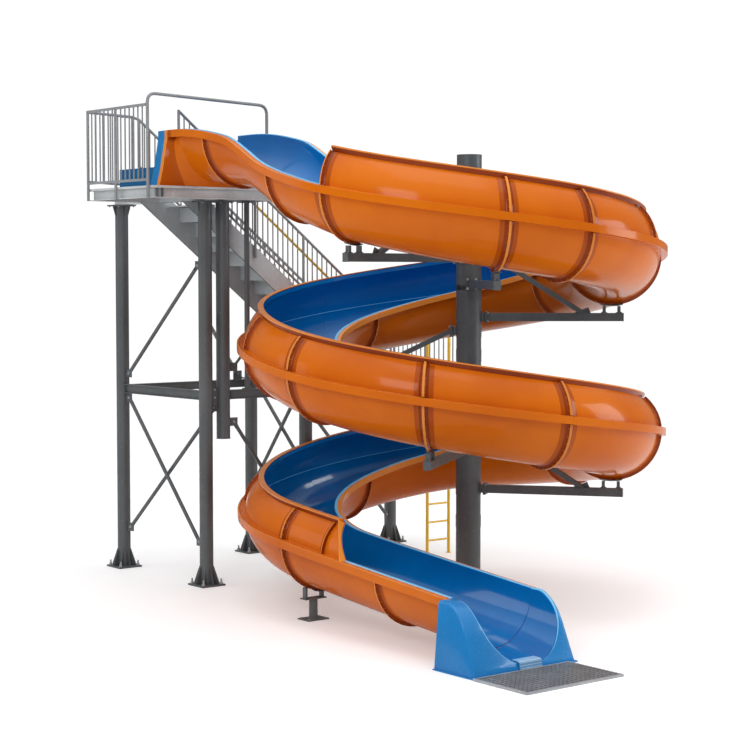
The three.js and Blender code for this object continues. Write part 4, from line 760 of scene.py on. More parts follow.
def add_arm(name, angle, strut, under_rib):
    shape = Shape()
    turn, reach, top = arm_layout(angle, under_rib)
    level = top - ARM_DEPTH / 2
    end = reach + ARM_OVERHANG
    start = PAD_FACE + PAD_PLATE - 0.002
    half = ARM_WIDTH / 2
    bolted_plate(shape, turn, level)
    shape.add(
        block((start, -half, top - ARM_DEPTH), (end - 0.006, half, top), turn),
        block((end - 0.0062, -half - 0.003, top - ARM_DEPTH - 0.003), (end, half + 0.003, top + 0.001), turn),
    )
    spin = Matrix.Rotation(turn, 4, "Z")
    leg_top = top + SADDLE_GAP + SADDLE_SPREAD**2 / (2 * SADDLE_REACH) - 0.012
    foot, foot_top = SADDLE_LEG / 2 + 0.016, top + 0.009
    for side in (-1, 1):
        x = reach + side * SADDLE_SPREAD
        shape.add(
            slab(x, 0, SADDLE_LEG / 2, 0.030, top - 0.001, leg_top, turn),
            slab(x, 0, foot, 0.036, top, foot_top, turn),
        )
        for row in (-1, 1):
            place = spin @ Vector((x + side * (foot - 0.009), row * 0.022, foot_top))
            bolt(shape, place, UP, 0.007, 0.007, 1, washer=False)
    cradle(shape, angle, under_rib)
    if strut:
        out = level_way(turn)
        high = out * (start + 0.002) + UP * (level + STRUT_RISE)
        low = out * (start + (reach - start) * STRUT_REACH) + UP * (top - 0.03)
        bolted_plate(shape, turn, level + STRUT_RISE)
        outline = [(-0.16, 0.004), (0.05, 0.004), (0.02, 0.075)]
        shape.add(beam(high, low, STRUT, STRUT), plate(outline, low + UP * 0.025, out, UP, 0.010))
    steel_piece(name, "beam", shape, 0.004)


def add_support_post():
    lo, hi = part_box("support_post")
    x, y = (lo.x + hi.x) / 2, (lo.y + hi.y) / 2
    angle = TURN_JOINTS[-1]
    shelf = hi.z - 0.069
    plate_x, plate_y, plate_top = 0.150, 0.110, 0.014
    shape = Shape(
        slab(x, y, plate_x, plate_y, 0, plate_top),
        tube([(x, y, plate_top - 0.001), (x, y, shelf - 0.010)], 0.050, 40),
        disc_stack((x, y, plate_top), UP, [(0, 0.058), (0.009, 0.050)], 40),
        slab(x, y, plate_x, 0.060, shelf - 0.014, shelf),
    )
    under = min(flange_height(angle + 1), flange_height(angle - 1))
    for side in (-1, 1):
        leg = x + side * 0.118
        leg_top = under - math.sqrt(RIB_OUTER**2 - (leg - beside_path(angle).x) ** 2) - 0.001
        shape.add(slab(leg, y, 0.014, 0.030, shelf - 0.001, leg_top))
        for row in (-1, 1):
            bolt(shape, (x + side * 0.115, y + row * 0.080, plate_top), UP, 0.012, 0.012, 1)
    cradle(shape, angle, True)
    steel_piece("support_post", "steel", shape, 0.003, (STEEL_DARK, GALVANISED))


# Tower frame
COLUMN_RADIUS = 0.088
BASE_HALF, BASE_PLATE = 0.175, 0.022
CAP_PLATE = 0.018
DECK_UNDER = 4.930
FRONT_ROW_Y, REAR_ROW_Y = 2.840, 4.810
LEFT_X, LEFT_REAR_X = -1.975, -2.025
HANGING_X, HANGING_FOOT = -1.707, 1.880
HANGER_X, HANGER_RADIUS = -1.330, 0.035
RIGHT_FRONT_X, RIGHT_REAR_X = -0.390, 0.090
LANDING_COLUMN = (2.270, 4.335)
MID_TOP, MID_DEPTH, MID_WIDTH = 2.505, 0.120, 0.080
LANDING_UNDER = 2.2597
BRACE_RADIUS = 0.025
LUG_LENGTH, LUG_HALF, LUG_THICK = 0.130, 0.055, 0.014
PLATE_HALF = 0.008


def column_foot(shape, x, y):
    shape.add(slab(x, y, BASE_HALF, BASE_HALF, 0, BASE_PLATE))
    gussets(shape, x, y, COLUMN_RADIUS, BASE_HALF, BASE_PLATE, 0.250)
    for spot in corners_round(x, y, BASE_HALF - 0.040, BASE_HALF - 0.040):
        anchor(shape, *spot, BASE_PLATE)


def column_tube(shape, x, y, low, high):
    weld = [(low, COLUMN_RADIUS + 0.006), (low + 0.008, COLUMN_RADIUS)]
    for levels in ([(low, COLUMN_RADIUS), (high, COLUMN_RADIUS)], weld):
        shape.add(disc_stack((x, y, 0), UP, levels, 56))


def column_head(shape, x, y, top, half):
    under = top - CAP_PLATE
    shape.add(slab(x, y, half, half, under, top))
    rise = 0.150
    outline = [
        (COLUMN_RADIUS - 0.004, 0), (half - 0.010, 0), (half - 0.010, -0.020),
        (COLUMN_RADIUS + 0.004, -rise), (COLUMN_RADIUS - 0.004, -rise),
    ]
    for k in range(4):
        shape.add(plate(outline, (x, y, under), level_way(k * math.pi / 2), UP, 0.012))
    for spot in corners_round(x, y, half - 0.026, half - 0.026):
        bolt(shape, (*spot, under), -UP, 0.011, 0.014, 1)


def add_column(name, x, y, tube_top, top, half):
    """A column to its head plate: a low one ends in a thin plate with its bolts on top."""
    shape = Shape()
    column_foot(shape, x, y)
    column_tube(shape, x, y, BASE_PLATE, tube_top)
    if half:
        column_head(shape, x, y, top, half)
    else:
        shape.add(slab(x, y, 0.110, 0.110, MID_TOP - 0.006, top))
        for spot in corners_round(x, y, 0.09, 0.09):
            bolt(shape, (*spot, top), UP, 0.010, 0.010, 1)
    steel_piece(name, "tube", shape, 0.0025)


def add_hanging_post(top):
    shape = Shape()
    x, y = HANGING_X, FRONT_ROW_Y
    start = LEFT_X + COLUMN_RADIUS + GAP
    under = top - CAP_PLATE
    column_tube(shape, x, y, HANGING_FOOT, top - 0.004)
    shape.add(
        disc_stack((x, y, HANGING_FOOT), UP, [(0, 0.082), (0.006, 0.089), (0.014, 0.089)], 56),
        block((x - 0.100, y - 0.100, under), (x + 0.110, 2.950, top)),
        block((start, y - PLATE_HALF, MID_TOP - MID_DEPTH), (x, y + PLATE_HALF, MID_TOP + 0.040)),
    )
    for dx in (-0.078, 0.088):
        bolt(shape, (x + dx, y - 0.078, under), -UP, 0.011, 0.012, 1)
    for z in (-0.09, 0.01):
        bolt(shape, (start + 0.045, y - PLATE_HALF, MID_TOP + z), (0, -1, 0), 0.010, 0.010, 1)
    steel_piece("hanging_post", "tube", shape, 0.0025)


def add_hanger_post(top):
    x, y = HANGER_X, FRONT_ROW_Y
    low, thick, half = MID_TOP + GAP, 0.012, 0.060
    shape = Shape(
        tube([(x, y, low), (x, y, top - 0.002)], HANGER_RADIUS, 32),
        slab(x, y, half, 0.038, low, low + thick),
        block((x - half, y - half, top - thick), (x + half, 2.950, top)),
    )
    for side in (-0.048, 0.048):
        bolt(shape, (x + side, y, low + thick), UP, 0.007, 0.008, 1)
        bolt(shape, (x + side, y - 0.045, top - thick), -UP, 0.007, 0.008, 1)
    steel_piece("hanger_post", "tube", shape, 0.002)


def add_columns():
    top = DECK_UNDER - GAP
    for name, x, y, high, half in (
        ("left_rear", LEFT_REAR_X, REAR_ROW_Y, top, 0.143), ("left_front", LEFT_X, FRONT_ROW_Y, top, 0.118),
        ("landing", *LANDING_COLUMN, LANDING_UNDER, 0.118),
    ):
        add_column("column_" + name, x, y, high - 0.004, high, half)
    for name, x, y in (("right_rear", RIGHT_REAR_X, REAR_ROW_Y), ("right_front", RIGHT_FRONT_X, FRONT_ROW_Y)):
        node = "column_" + name
        add_column(node, x, y, MID_TOP - 0.002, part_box(node)[1].z, 0)
    add_hanging_post(top)
    add_hanger_post(top)


def add_mid_beams():
    """Rolled I-sections between the columns, with stiffeners at their ends."""
    seat = COLUMN_RADIUS + GAP
    flange, web, less = 0.010, 0.009, 0.010
    for name, start, end, depth in (
        ("left", (LEFT_X, FRONT_ROW_Y + seat), (LEFT_REAR_X, REAR_ROW_Y - seat), MID_DEPTH),
        ("rear", (LEFT_REAR_X + seat, REAR_ROW_Y), (RIGHT_REAR_X - seat, REAR_ROW_Y), MID_DEPTH - less),
        ("front", (HANGING_X + seat, FRONT_ROW_Y), (RIGHT_FRONT_X - 0.1103, FRONT_ROW_Y), MID_DEPTH),
    ):
        middle = MID_TOP - MID_DEPTH / 2 - (MID_DEPTH - depth) / 2
        start, end = Vector((*start, middle)), Vector((*end, middle))
        along = (end - start).normalized()
        shift = UP * ((depth - flange) / 2)
        shape = Shape(*(beam(start + s, end + s, MID_WIDTH, flange) for s in (-shift, shift)))
        shape.add(beam(start, end, web, depth - flange))
        for p in (start + along * 0.006, end - along * 0.006):
            shape.add(beam(p - along * 0.005, p + along * 0.005, MID_WIDTH - 0.002, depth - 0.004))
        steel_piece("mid_beam_" + name, "section", shape, 0.002, (STEEL_DARK,))


def lug(shape, x, y, z, turn):
    """An upright lug plate against a column, and the place and axis of the brace's bolt."""
    start = COLUMN_RADIUS + 0.0005
    lo, hi = (start, -LUG_THICK / 2, z - LUG_HALF), (start + LUG_LENGTH, LUG_THICK / 2, z + LUG_HALF)
    shape.add(block(lo, hi, turn, (x, y, 0)))
    out = level_way(turn)
    return Vector((x, y, z)) + out * (start + LUG_LENGTH * 0.55), Vector((-out.y, out.x, 0))


BRACE_END = [
    (-0.034, -0.018), (-0.022, -0.030), (0.095, -0.026), (0.095, 0.026), (-0.022, 0.030), (-0.034, 0.018),
]


def brace_rod(shape, start, end, side, shift=0.0):
    """A round brace whose flattened ends are bolted to the lugs."""
    start, end = start + side * shift, end + side * shift
    along = (end - start).normalized()
    neck = along * 0.075
    shape.add(tube([start + neck, end - neck], BRACE_RADIUS, 24))
    for tip, inward in ((start, along), (end, -along)):
        shape.add(plate(BRACE_END, tip, inward, inward.cross(side).normalized(), 0.018))
        for face in (-1, 1):
            bolt(shape, tip + side * (face * 0.009), side * face, 0.013, 0.013, 1)


def add_brace(name, first, second, shift=0.0):
    shape = Shape()
    turn = math.atan2(second[1] - first[1], second[0] - first[0])
    start, side = lug(shape, *first, turn)
    end, _ = lug(shape, *second, turn + math.pi)
    brace_rod(shape, start, end, side, shift)
    steel_piece(name, "rod", shape, 0.0015)


def add_braces():
    left_rear, left_front = (LEFT_REAR_X, REAR_ROW_Y), (LEFT_X, FRONT_ROW_Y)
    right_rear, right_front = (RIGHT_REAR_X, REAR_ROW_Y), (RIGHT_FRONT_X, FRONT_ROW_Y)
    shift = BRACE_RADIUS + 0.002
    add_brace("brace_left_upper", (*left_rear, 2.655), (*left_front, 4.110))
    add_brace("brace_left_lower", (*left_rear, 2.325), (*left_front, 0.545))
    add_brace("brace_right_falling", (*right_rear, 2.440), (*right_front, 1.440), shift)
    add_brace("brace_right_rising", (*right_front, 2.440), (*right_rear, 1.000), shift)
    add_brace("brace_landing", (*LANDING_COLUMN, 0.430), (*right_front, 2.150))
    add_brace("brace_front_low", (HANGING_X, FRONT_ROW_Y, 2.090), (*right_front, 0.690))

    x = LEFT_X + COLUMN_RADIUS + GAP
    top = MID_TOP - MID_DEPTH - GAP
    meeting = Vector((x + 0.045, FRONT_ROW_Y, top - 0.100))
    shape = Shape(slab(x + 0.045, FRONT_ROW_Y, 0.045, PLATE_HALF, top - 0.150, top))
    turn = math.atan2(FRONT_ROW_Y - REAR_ROW_Y, meeting.x - LEFT_REAR_X)
    foot, side = lug(shape, *left_rear, 0.560, turn)
    brace_rod(shape, foot, meeting, side)
    steel_piece("brace_left_cross", "rod", shape, 0.0015)

    shape = Shape()
    beam_top = MID_TOP - 0.010
    head = Vector((-0.150, REAR_ROW_Y, beam_top + 0.080))
    turn = math.atan2(head.y - FRONT_ROW_Y, head.x - LEFT_X)
    foot, side = lug(shape, *left_front, 3.400, turn)
    shape.add(slab(-0.145, REAR_ROW_Y, 0.070, PLATE_HALF, beam_top + GAP, beam_top + 0.125))
    brace_rod(shape, foot, head, side)
    steel_piece("brace_across", "rod", shape, 0.0015)

    shape = Shape()
    x = HANGER_X - HANGER_RADIUS - GAP
    start, side = lug(shape, HANGING_X, FRONT_ROW_Y, 2.800, 0)
    shape.add(
        slab(x - 0.035, FRONT_ROW_Y, 0.035, PLATE_HALF, 2.910, 3.010),
        tube([start, (x - 0.035, FRONT_ROW_Y, 2.960)], 0.018, 20),
    )
    steel_piece("hanger_knee", "rod", shape, 0.0015)


# Platform, stair and landing
DECK_X0, DECK_Y0, DECK_Y1 = -3.070, 2.310, 3.870
RISERS, GOING = 14, 0.240
LANDING_TOP = 2.400
STAIR_X, STAIR_Y0, STAIR_WIDTH = -1.930, 3.010, 0.860
RISE = (DECK_TOP - LANDING_TOP) / RISERS
SLOPE = RISE / GOING
STAIR_END = STAIR_X + (RISERS - 1) * GOING - GAP


def dress(name, paint, bevel):
    """Gives a carried-over solid its finish and softened edges."""
    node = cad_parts[name]
    node.data.materials.clear()
    node.data.materials.append(paint)
    soften(node, bevel)


def add_platform_details():
    for name, paint, bevel in (
        ("deck_frame", DECK_STEEL, 0.002), ("deck_plate", DECK_STEEL, 0.002),
        ("landing_deck", DECK_STEEL, 0.003), ("stair_flight", STAIR_STEEL, 0.002),
    ):
        dress(name, paint, bevel)
    shape = Shape()
    under = DECK_UNDER
    for x in (DECK_X0 + 0.075, DECK_X0 + 0.150):
        shape.add(slab(x, DECK_Y0 + 0.027, 0.004, 0.023, under + 0.011, under + 0.118))
    for y in (DECK_Y0 + 0.28 + k * 0.34 for k in range(4)):
        shape.add(block((DECK_X0 + 0.061, y - 0.025, under + 0.070), (-2.052, y + 0.025, under + 0.1295)))
    make_piece("deck_stiffeners", shape, (STEEL_DARK,), bevel=0.001)
    shape = Shape()
    y0, y1 = STAIR_Y0 + 0.031, STAIR_Y0 + STAIR_WIDTH - 0.031
    for k in range(1, RISERS):
        x = STAIR_X + k * GOING - (0.004 if k == RISERS - 1 else 0)
        z = DECK_TOP - k * RISE
        shape.add(block((x - 0.040, y0, z + 0.0002), (x - 0.002, y1, z + 0.004)))
        for j in range(3):
            shape.add(block((x - 0.037 + j * 0.012, y0, z + 0.003), (x - 0.032 + j * 0.012, y1, z + 0.0065)))
    make_piece("stair_nosings", shape, (STEEL_DARK,))


# Guards
RAIL_OUT, RAIL_RADIUS = 0.0183, 0.018
GUARD_TOP, GUARD_BOTTOM = 0.978, 0.070
BALUSTER_RADIUS, BALUSTER_STEP, STAIR_BALUSTER_STEP = 0.0095, 0.104, 0.080
NEAR_GUARD_TOP, FAR_GUARD_TOP, STAIR_GUARD_BOTTOM = 0.715, 0.625, 0.022
POST_START, POST_STEP = 0.060, 0.780


def guard(start, end, top, bottom, posts, step=BALUSTER_STEP):
    """A guard panel of round bars: rails, posts with caps, and balusters."""
    start, end = Vector(start), Vector(end)
    along = end - start
    level = math.hypot(along.x, along.y)
    shape = Shape(
        tube([start + UP * top, end + UP * top], RAIL_RADIUS, 20),
        tube([start + UP * bottom, end + UP * bottom], 0.016, 16),
    )
    cap = [(-0.020, RAIL_RADIUS + 0.001), (0.012, RAIL_RADIUS + 0.001), (0.017, 0.010)]
    for share, foot in posts:
        p = start + along * share
        shape.add(
            tube([(p.x, p.y, foot), (p.x, p.y, p.z + top - 0.002)], RAIL_RADIUS, 20),
            disc_stack((p.x, p.y, p.z + top), UP, cap, 20),
        )
    count = round(level / step)
    for share in (k / count for k in range(1, count)):
        if all(abs(near - share) * level >= step * 0.45 for near, _ in posts):
            p = start + along * share
            shape.add(tube([p + UP * bottom, p + UP * (top - 0.004)], BALUSTER_RADIUS, 10))
    return shape


def nosing(at):
    """Height of the line through the stair's nosings."""
    return DECK_TOP - SLOPE * (at - STAIR_X)


def post_places(end):
    """The places along the stair where its guards and handrail are held."""
    places = [STAIR_X + POST_START]
    while places[-1] + POST_STEP <= end + 0.001:
        places.append(places[-1] + POST_STEP)
    return places


def add_guards():
    x, y = DECK_X0 - RAIL_OUT, DECK_Y1 + RAIL_OUT
    deck, foot = DECK_TOP, DECK_UNDER
    height = (GUARD_TOP, GUARD_BOTTOM)
    left_posts, rear_posts = [(0.52, foot), (1, foot)], [(0, foot), (1, foot)]
    rear_top = 0.953
    panels = {
        "guard_left": guard((x, 2.4103, deck), (x, DECK_Y1 - 0.030, deck), *height, left_posts),
        "guard_rear": guard(
            (DECK_X0 + 0.010, y, deck), (-2.400, y, deck - 0.025), GUARD_TOP, 0.095, rear_posts,
        ),
    }
    x0, x1 = STAIR_END + GAP, STAIR_END + 1.2503
    y0, y1 = STAIR_Y0, STAIR_Y0 + 1.480
    posts = [(share, LANDING_TOP - 0.140) for share in (0, 0.5, 1)]
    for name, start, end in (
        ("right", (x1 + RAIL_OUT, y0 + 0.020, LANDING_TOP), (x1 + RAIL_OUT, y1 - 0.020, LANDING_TOP)),
        ("rear", (x0 + 0.020, y1 + RAIL_OUT, LANDING_TOP), (x1 - 0.020, y1 + RAIL_OUT, LANDING_TOP)),
    ):
        panels["landing_guard_" + name] = guard(start, end, *height, posts)
    end = STAIR_END - POST_START
    for name, first, line, top, first_foot in (
        ("near", -2.262, STAIR_Y0 - RAIL_OUT, NEAR_GUARD_TOP, DECK_TOP + GAP),
        ("far", -2.300, STAIR_Y0 + STAIR_WIDTH + RAIL_OUT, FAR_GUARD_TOP, DECK_UNDER),
    ):
        posts = [(0, first_foot)]
        posts += [((at - first) / (end - first), nosing(at) - 0.200) for at in post_places(end)]
        ends = (first, line, nosing(first)), (end, line, nosing(end))
        panels["stair_guard_" + name] = guard(*ends, top, STAIR_GUARD_BOTTOM, posts, STAIR_BALUSTER_STEP)
    far_start = nosing(-2.300) + FAR_GUARD_TOP
    rail = [(-2.560, y, deck + rear_top), (-2.400, y, deck + rear_top), (-2.300, y, far_start)]
    rail.append((-2.200, y, far_start - 0.08))
    panels["guard_rear"].add(tube(bend(rail, 0.050), RAIL_RADIUS - 0.0005, 20))
    for name, shape in panels.items():
        make_piece(name + "_bars", shape, (RAIL_STEEL,), (name,))
    add_handrail(end)
    add_hoop()
    add_ladder()


def add_handrail(end):
    near = STAIR_Y0 - RAIL_OUT
    start = STAIR_X + POST_START
    line, radius = near + 0.075, 0.017
    height = NEAR_GUARD_TOP - 0.182
    shape = Shape(tube([(at, line, nosing(at) + height) for at in (start, end)], radius, 20))
    for at in post_places(end):
        z = nosing(at) + height - 0.004
        shape.add(tube([(at, line, z), (at, near + RAIL_RADIUS + GAP, z)], 0.008, 12))
    for tip, way in ((start, -1), (end, 1)):
        levels = [(-0.002, radius), (0.006, 0.014), (0.009, 0.006)]
        shape.add(disc_stack((tip, line, nosing(tip) + height), (way, 0, -way * SLOPE), levels, 20))
    make_piece("stair_handrail_tube", shape, (YELLOW,), ("stair_handrail",))


def add_hoop():
    x, y, far = DECK_X0 - 0.0203, 2.390, -1.325
    foot, thick = DECK_TOP + GAP, 0.0117
    path = bend([(x, y, DECK_UNDER), (x, y, 6.195), (far, y, 6.132), (far, y, foot)], 0.120)
    shape = Shape(tube(path, 0.020, 24), slab(far, y, 0.055, 0.055, foot, foot + thick))
    for spot in corners_round(far, y, 0.038, 0.038):
        bolt(shape, (*spot, foot + thick), UP, 0.008, 0.009, 1)
    steel_piece("entry_hoop", "tube", shape, 0.001, (RAIL_STEEL, GALVANISED))


def add_ladder():
    shape = Shape()
    left, width, radius, top = 1.860, 0.400, 0.022, 3.344
    y = STAIR_Y0 - radius - GAP
    for x in (left, left + width):
        shape.add(
            tube([(x, y, 0), (x, y, top)], radius, 24),
            disc_stack((x, y, top), UP, [(-0.001, radius), (0.004, 0.018), (0.006, 0.010)], 24),
            disc_stack((x, y, 0), UP, [(0, 0.040), (0.006, 0.040), (0.009, 0.024)], 24),
        )
    z = 0.205
    while z < LANDING_TOP:
        shape.add(tube([(left, y, z), (left + width, y, z)], 0.014, 16))
        z += 0.260
    make_piece("ladder_tubes", shape, (YELLOW,), ("ladder",))


# Run-out, grate and start tub
RUNOUT_X, RUNOUT_Y0 = SLIDE.x - 2.070, SLIDE.y + RUNOUT_START
RUNOUT_LENGTH, RUNOUT_HALF, RUNOUT_TOP, RUNOUT_FLOOR = 0.610, 0.695, 0.702, 0.045
RUNOUT_DRAFT = {-1: 0.060, 1: 0.015}
RUNOUT_EDGE = {-1: 0.026, 1: 0.014}
RUNOUT_FRONT = [
    (0.0, 0.702), (0.110, 0.701), (0.140, 0.697), (0.170, 0.688), (0.198, 0.676), (0.225, 0.660),
    (0.255, 0.640), (0.285, 0.617), (0.313, 0.592), (0.340, 0.562), (0.368, 0.528), (0.395, 0.490),
    (0.420, 0.447), (0.445, 0.400),
]
FRONT_STEPS = 14
PLINTH, PLINTH_OUT = 0.012, 0.025
CHANNEL_X, CHANNEL_FACES = SLIDE.x - PATH_RADIUS, 48
LIP_ROLL = 0.018
QUARTER_TURN = (0, math.pi / 6, math.pi / 3, math.pi / 2)
PAD_X, PAD_HALF_WIDTH, PAD_THICK = -2.165, 0.155, 0.005
PAD_BENDS = [(0.120, 0.098), (0.030, 0.094), (0.010, 0.085), (-0.004, 0.013)]
PAD_ROWS, PAD_COLUMNS = 8, 20


def run_out_side(way, z):
    """Place of a side of the run-out at a height: the sides draw in towards the top."""
    return RUNOUT_X + way * (RUNOUT_HALF - RUNOUT_DRAFT[way] * z / RUNOUT_TOP)


def run_out_ring(y, top, floor):
    """The run-out's outline across the path: sides, rounded edges and the round channel."""
    radius = LINER_INNER
    axis = floor + radius
    cosine = (axis - top) / radius
    reach = math.sqrt(max(1 - min(cosine, 1) ** 2, 0)) * radius if cosine > 0 else radius
    roll = min(LIP_ROLL, max(top - floor, 0) * 0.3)
    halves = []
    for way in (-1, 1):
        edge = min(RUNOUT_EDGE[way], top * 0.4)
        points = [(run_out_side(way, PLINTH), PLINTH)]
        for a in QUARTER_TURN:
            z = top - edge * (1 - math.sin(a))
            points.append((run_out_side(way, z) - way * edge * (1 - math.cos(a)), z))
        lip = CHANNEL_X + way * reach
        for a in QUARTER_TURN[::-1]:
            points.append((lip + way * roll * (1 - math.cos(a)), top - roll * (1 - math.sin(a))))
        halves.append(points)
    start = -180 + math.degrees(math.asin(min(max((axis - top + roll) / radius, 0), 1)))
    channel = []
    for k in range(CHANNEL_FACES + 1):
        turn = math.radians(start - (180 + 2 * start) * k / CHANNEL_FACES)
        channel.append((CHANNEL_X + radius * math.cos(turn), min(axis + radius * math.sin(turn), top)))
    return [Vector((x, y, z)) for x, z in halves[0] + channel + halves[1][::-1]]


def add_run_out():
    start_floor = flange_height(EXIT_END) - LINER_INNER
    last_along, last_height = RUNOUT_FRONT[-1]
    levels = list(RUNOUT_FRONT)
    for share in (k / FRONT_STEPS for k in range(1, FRONT_STEPS + 1)):
        drop = (PLINTH + 0.004 - last_height) * share
        levels.append((last_along + (RUNOUT_LENGTH - last_along) * share, last_height + drop))
    rings = []
    for along, top in levels:
        floor = start_floor + (RUNOUT_FLOOR - start_floor) * min((along + 0.1) / (RUNOUT_LENGTH + 0.1), 1)
        rings.append(run_out_ring(RUNOUT_Y0 - along, top, min(floor, top)))
    # The rolled lips take the pale blue of painted highlight.
    side, lip, channel = [0] * 5, [2] * 3, [1] * (CHANNEL_FACES + 2)
    paints = side + lip + channel + lip + side + [0]
    shape = Shape()
    shape.add(sweep(rings), paint=paints * (len(rings) - 1) + [0, 0])
    wide = RUNOUT_HALF + PLINTH_OUT
    lo = (RUNOUT_X - wide, RUNOUT_Y0 - RUNOUT_LENGTH - PLINTH_OUT, 0)
    shape.add(block(lo, (RUNOUT_X + wide, RUNOUT_Y0, PLINTH)))
    finishes = (BLUE_BLOCK, BLUE, BLUE_PAINTED_HIGHLIGHT)
    make_piece("run_out_shell", shape, finishes, ("run_out",), bevel=0.003, smooth=50)
    add_grip_pad()


def add_grip_pad():
    """A studded rubber pad over the lip at the channel's end."""
    end = RUNOUT_Y0 - RUNOUT_LENGTH
    bends = [Vector((PAD_X, end + y, z)) for y, z in PAD_BENDS]
    wide = Vector((PAD_HALF_WIDTH, 0, 0))
    rings = []
    for p, before, after in zip(bends, bends[:1] + bends, bends[1:] + bends[-1:]):
        along = (after - before).normalized()
        out = Vector((0, along.z, -along.y)) * PAD_THICK
        rings.append([p - wide, p + wide, p + wide + out, p - wide + out])
    shape = Shape(sweep(rings))
    for row in range(PAD_ROWS):
        share = (row + 0.5) / PAD_ROWS * (len(bends) - 1)
        i = min(int(share), len(bends) - 2)
        step = bends[i + 1] - bends[i]
        along = step.normalized()
        out = Vector((0, along.z, -along.y))
        centre = bends[i] + step * (share - i) + out * (PAD_THICK - 0.001) - wide
        for column in range(PAD_COLUMNS):
            place = centre + 2 * wide * (column + 0.5 + 0.5 * (row % 2)) / (PAD_COLUMNS + 0.5)
            shape.add(disc_stack(place, out, [(0, 0.0052), (0.0035, 0.0040)], 8), paint=1)
    make_piece("grip_pad", shape, (PAD_RUBBER, PAD_STUD))


def add_grate():
    lo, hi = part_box("drain_grate")
    rim = 0.030
    top = hi.z
    x0, x1, y0, y1 = lo.x + rim, hi.x - rim, lo.y + rim, hi.y - rim
    steel = Shape(
        block((lo.x, lo.y, 0.0), (hi.x, y0, top)), block((lo.x, y1, 0.0), (hi.x, hi.y, top)),
        block((lo.x, y0, 0.0), (x0, y1, top)), block((x1, y0, 0.0), (hi.x, y1, top)),
    )
    long_bars, cross_bars = 12, 21
    long_half, cross_half = 0.005, 0.004
    for k in range(1, long_bars):
        y = y0 + (y1 - y0) * k / long_bars
        steel.add(block((x0, y - long_half, 0.004), (x1, y + long_half, top - 0.001)))
    for k in range(1, cross_bars):
        x = x0 + (x1 - x0) * k / cross_bars
        steel.add(block((x - cross_half, y0, 0.010), (x + cross_half, y1, top - 0.002)))
    make_piece("drain_grate_bars", steel, (GALVANISED,), ("drain_grate",))
    # A nearly black sheet under the bars stands for the shade of the drain pit.
    pit_shade_sheet = Shape(block((x0, y0, 0.0004), (x1, y1, 0.003)))
    make_piece("drain_pit_painted_shade", pit_shade_sheet, (PIT_PAINTED_SHADE,), bevel=0.001)


add_flume()
add_mast()
for arm in ARMS:
    add_arm(*arm)
add_support_post()
add_columns()
add_mid_beams()
add_braces()
add_platform_details()
add_guards()
add_run_out()
add_grate()
dress("start_tub", TUB_BLUE, 0.008)

# Stage, light and camera
CAMERA_PLACE = (-14.902, -16.891, 4.050)
CAMERA_TURN = (86.734, 0.0, -38.5)
CAMERA_LENS, CAMERA_SENSOR = 88.3, 36.0
STUDIO_PEAK = 2.0
STUDIO_LEVELS = [(0.0, 0.22), (0.25, 0.26), (0.45, 0.42), (0.70, 1.0), (0.86, 1.4), (1.0, 1.6)]
BACKDROP = 1.05
FLOOR_GLOW = 0.24
FLOOR_HALF = 60
LIGHT_TARGET = Vector((-0.5, 0.5, 2.5))
LIGHTS = [
    ("overhead", (-3.0, -3.0, 14.0), 7.0, 220), ("window", (-13.0, -6.0, 9.0), 4.5, 380),
    ("right_side", (9.5, -8.0, 5.5), 5.0, 420), ("left_side", (-11.0, 8.5, 5.5), 5.0, 100),
]


def place_in_scene(name, data, place=(0, 0, 0), turn=(0, 0, 0)):
    piece = bpy.data.objects.new(name, data)
    piece.location = place
    piece.rotation_euler = turn
    bpy.context.scene.collection.objects.link(piece)
    return piece


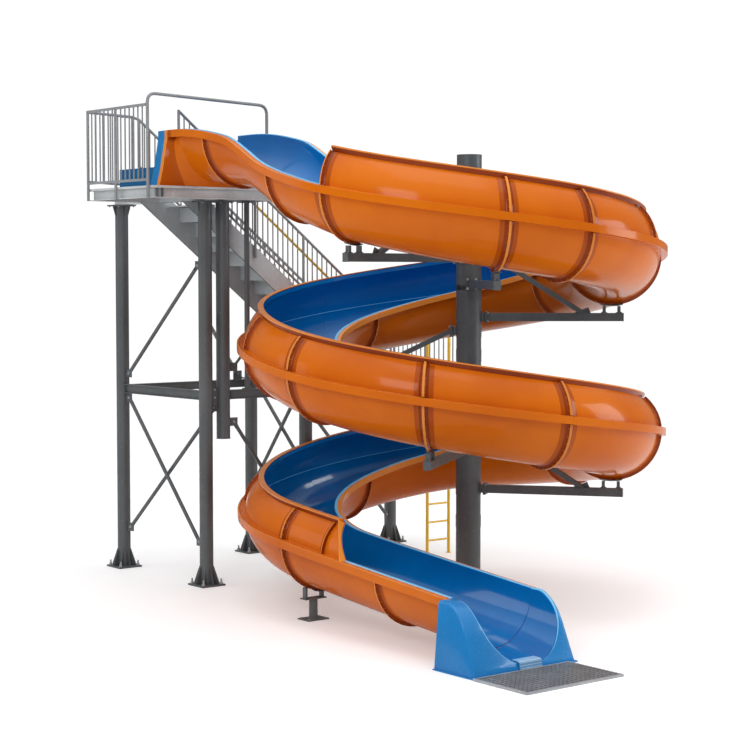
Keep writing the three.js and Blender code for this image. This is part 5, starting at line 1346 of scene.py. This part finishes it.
def add_stage():
    floor = Shape(slab(0, 0, FLOOR_HALF, FLOOR_HALF, -0.05, -0.0005))
    mesh = bpy.data.meshes.new("floor")
    mesh.from_pydata(floor.vertices, [], floor.faces)
    material, tree, shader = start_material("pale_floor", (0.86, 0.86, 0.865), 0.6)
    speckle = tree.spread(tree.noise(1.5, 4), 0.3, 0.7, 0.55, 0.7)
    glow = tree.spread(tree.new("LightPath").outputs["Is Camera Ray"], 0, 1, 0, FLOOR_GLOW)
    tree.fill(shader, Roughness=speckle, Emission_Color=WHITE, Emission_Strength=glow)
    mesh.materials.append(material)
    place_in_scene("floor", mesh)


def add_light():
    """A white studio: bright overhead and dimmer towards the horizon, before a white backdrop."""
    world = bpy.data.worlds.new("studio")
    tree = Tree(world)
    split = tree.new("SeparateXYZ", Vector=tree.new("TexCoord").outputs["Generated"])
    ramp = tree.new("ValToRGB", Fac=split.outputs["Z"])
    strength = tree.new("Math")
    strength.operation = "MULTIPLY"
    strength.inputs[1].default_value = STUDIO_PEAK
    tree.links.new(ramp.outputs["Color"], strength.inputs[0])
    studio = tree.fill(tree.nodes["Background"], Color=WHITE, Strength=strength.outputs["Value"])
    backdrop = tree.new("Background", Color=WHITE, Strength=BACKDROP)
    choice = tree.new("MixShader", Fac=tree.new("LightPath").outputs["Is Camera Ray"])
    for k, source in enumerate((studio, backdrop)):
        tree.links.new(source.outputs["Background"], choice.inputs[k + 1])
    tree.fill(tree.nodes["World Output"], Surface=choice.outputs["Shader"])
    stops = ramp.color_ramp.elements
    while len(stops) < len(STUDIO_LEVELS):
        stops.new(0.5)
    for stop, (height, level) in zip(stops, STUDIO_LEVELS):
        stop.position = height
        stop.color = (level / STUDIO_PEAK,) * 3 + (1,)
    bpy.context.scene.world = world
    for name, place, size, power in LIGHTS:
        light = bpy.data.lights.new(name, "AREA")
        light.size = size
        light.energy = power
        turn = (LIGHT_TARGET - Vector(place)).to_track_quat("-Z", "Y").to_euler()
        place_in_scene(name, light, place, turn)


def add_camera():
    camera = bpy.data.cameras.new("camera")
    camera.lens = CAMERA_LENS
    camera.sensor_width = CAMERA_SENSOR
    turn = [math.radians(a) for a in CAMERA_TURN]
    bpy.context.scene.camera = place_in_scene("camera", camera, CAMERA_PLACE, turn)


add_stage()
add_light()
add_camera()
bpy.context.scene.view_settings.view_transform = "Standard"
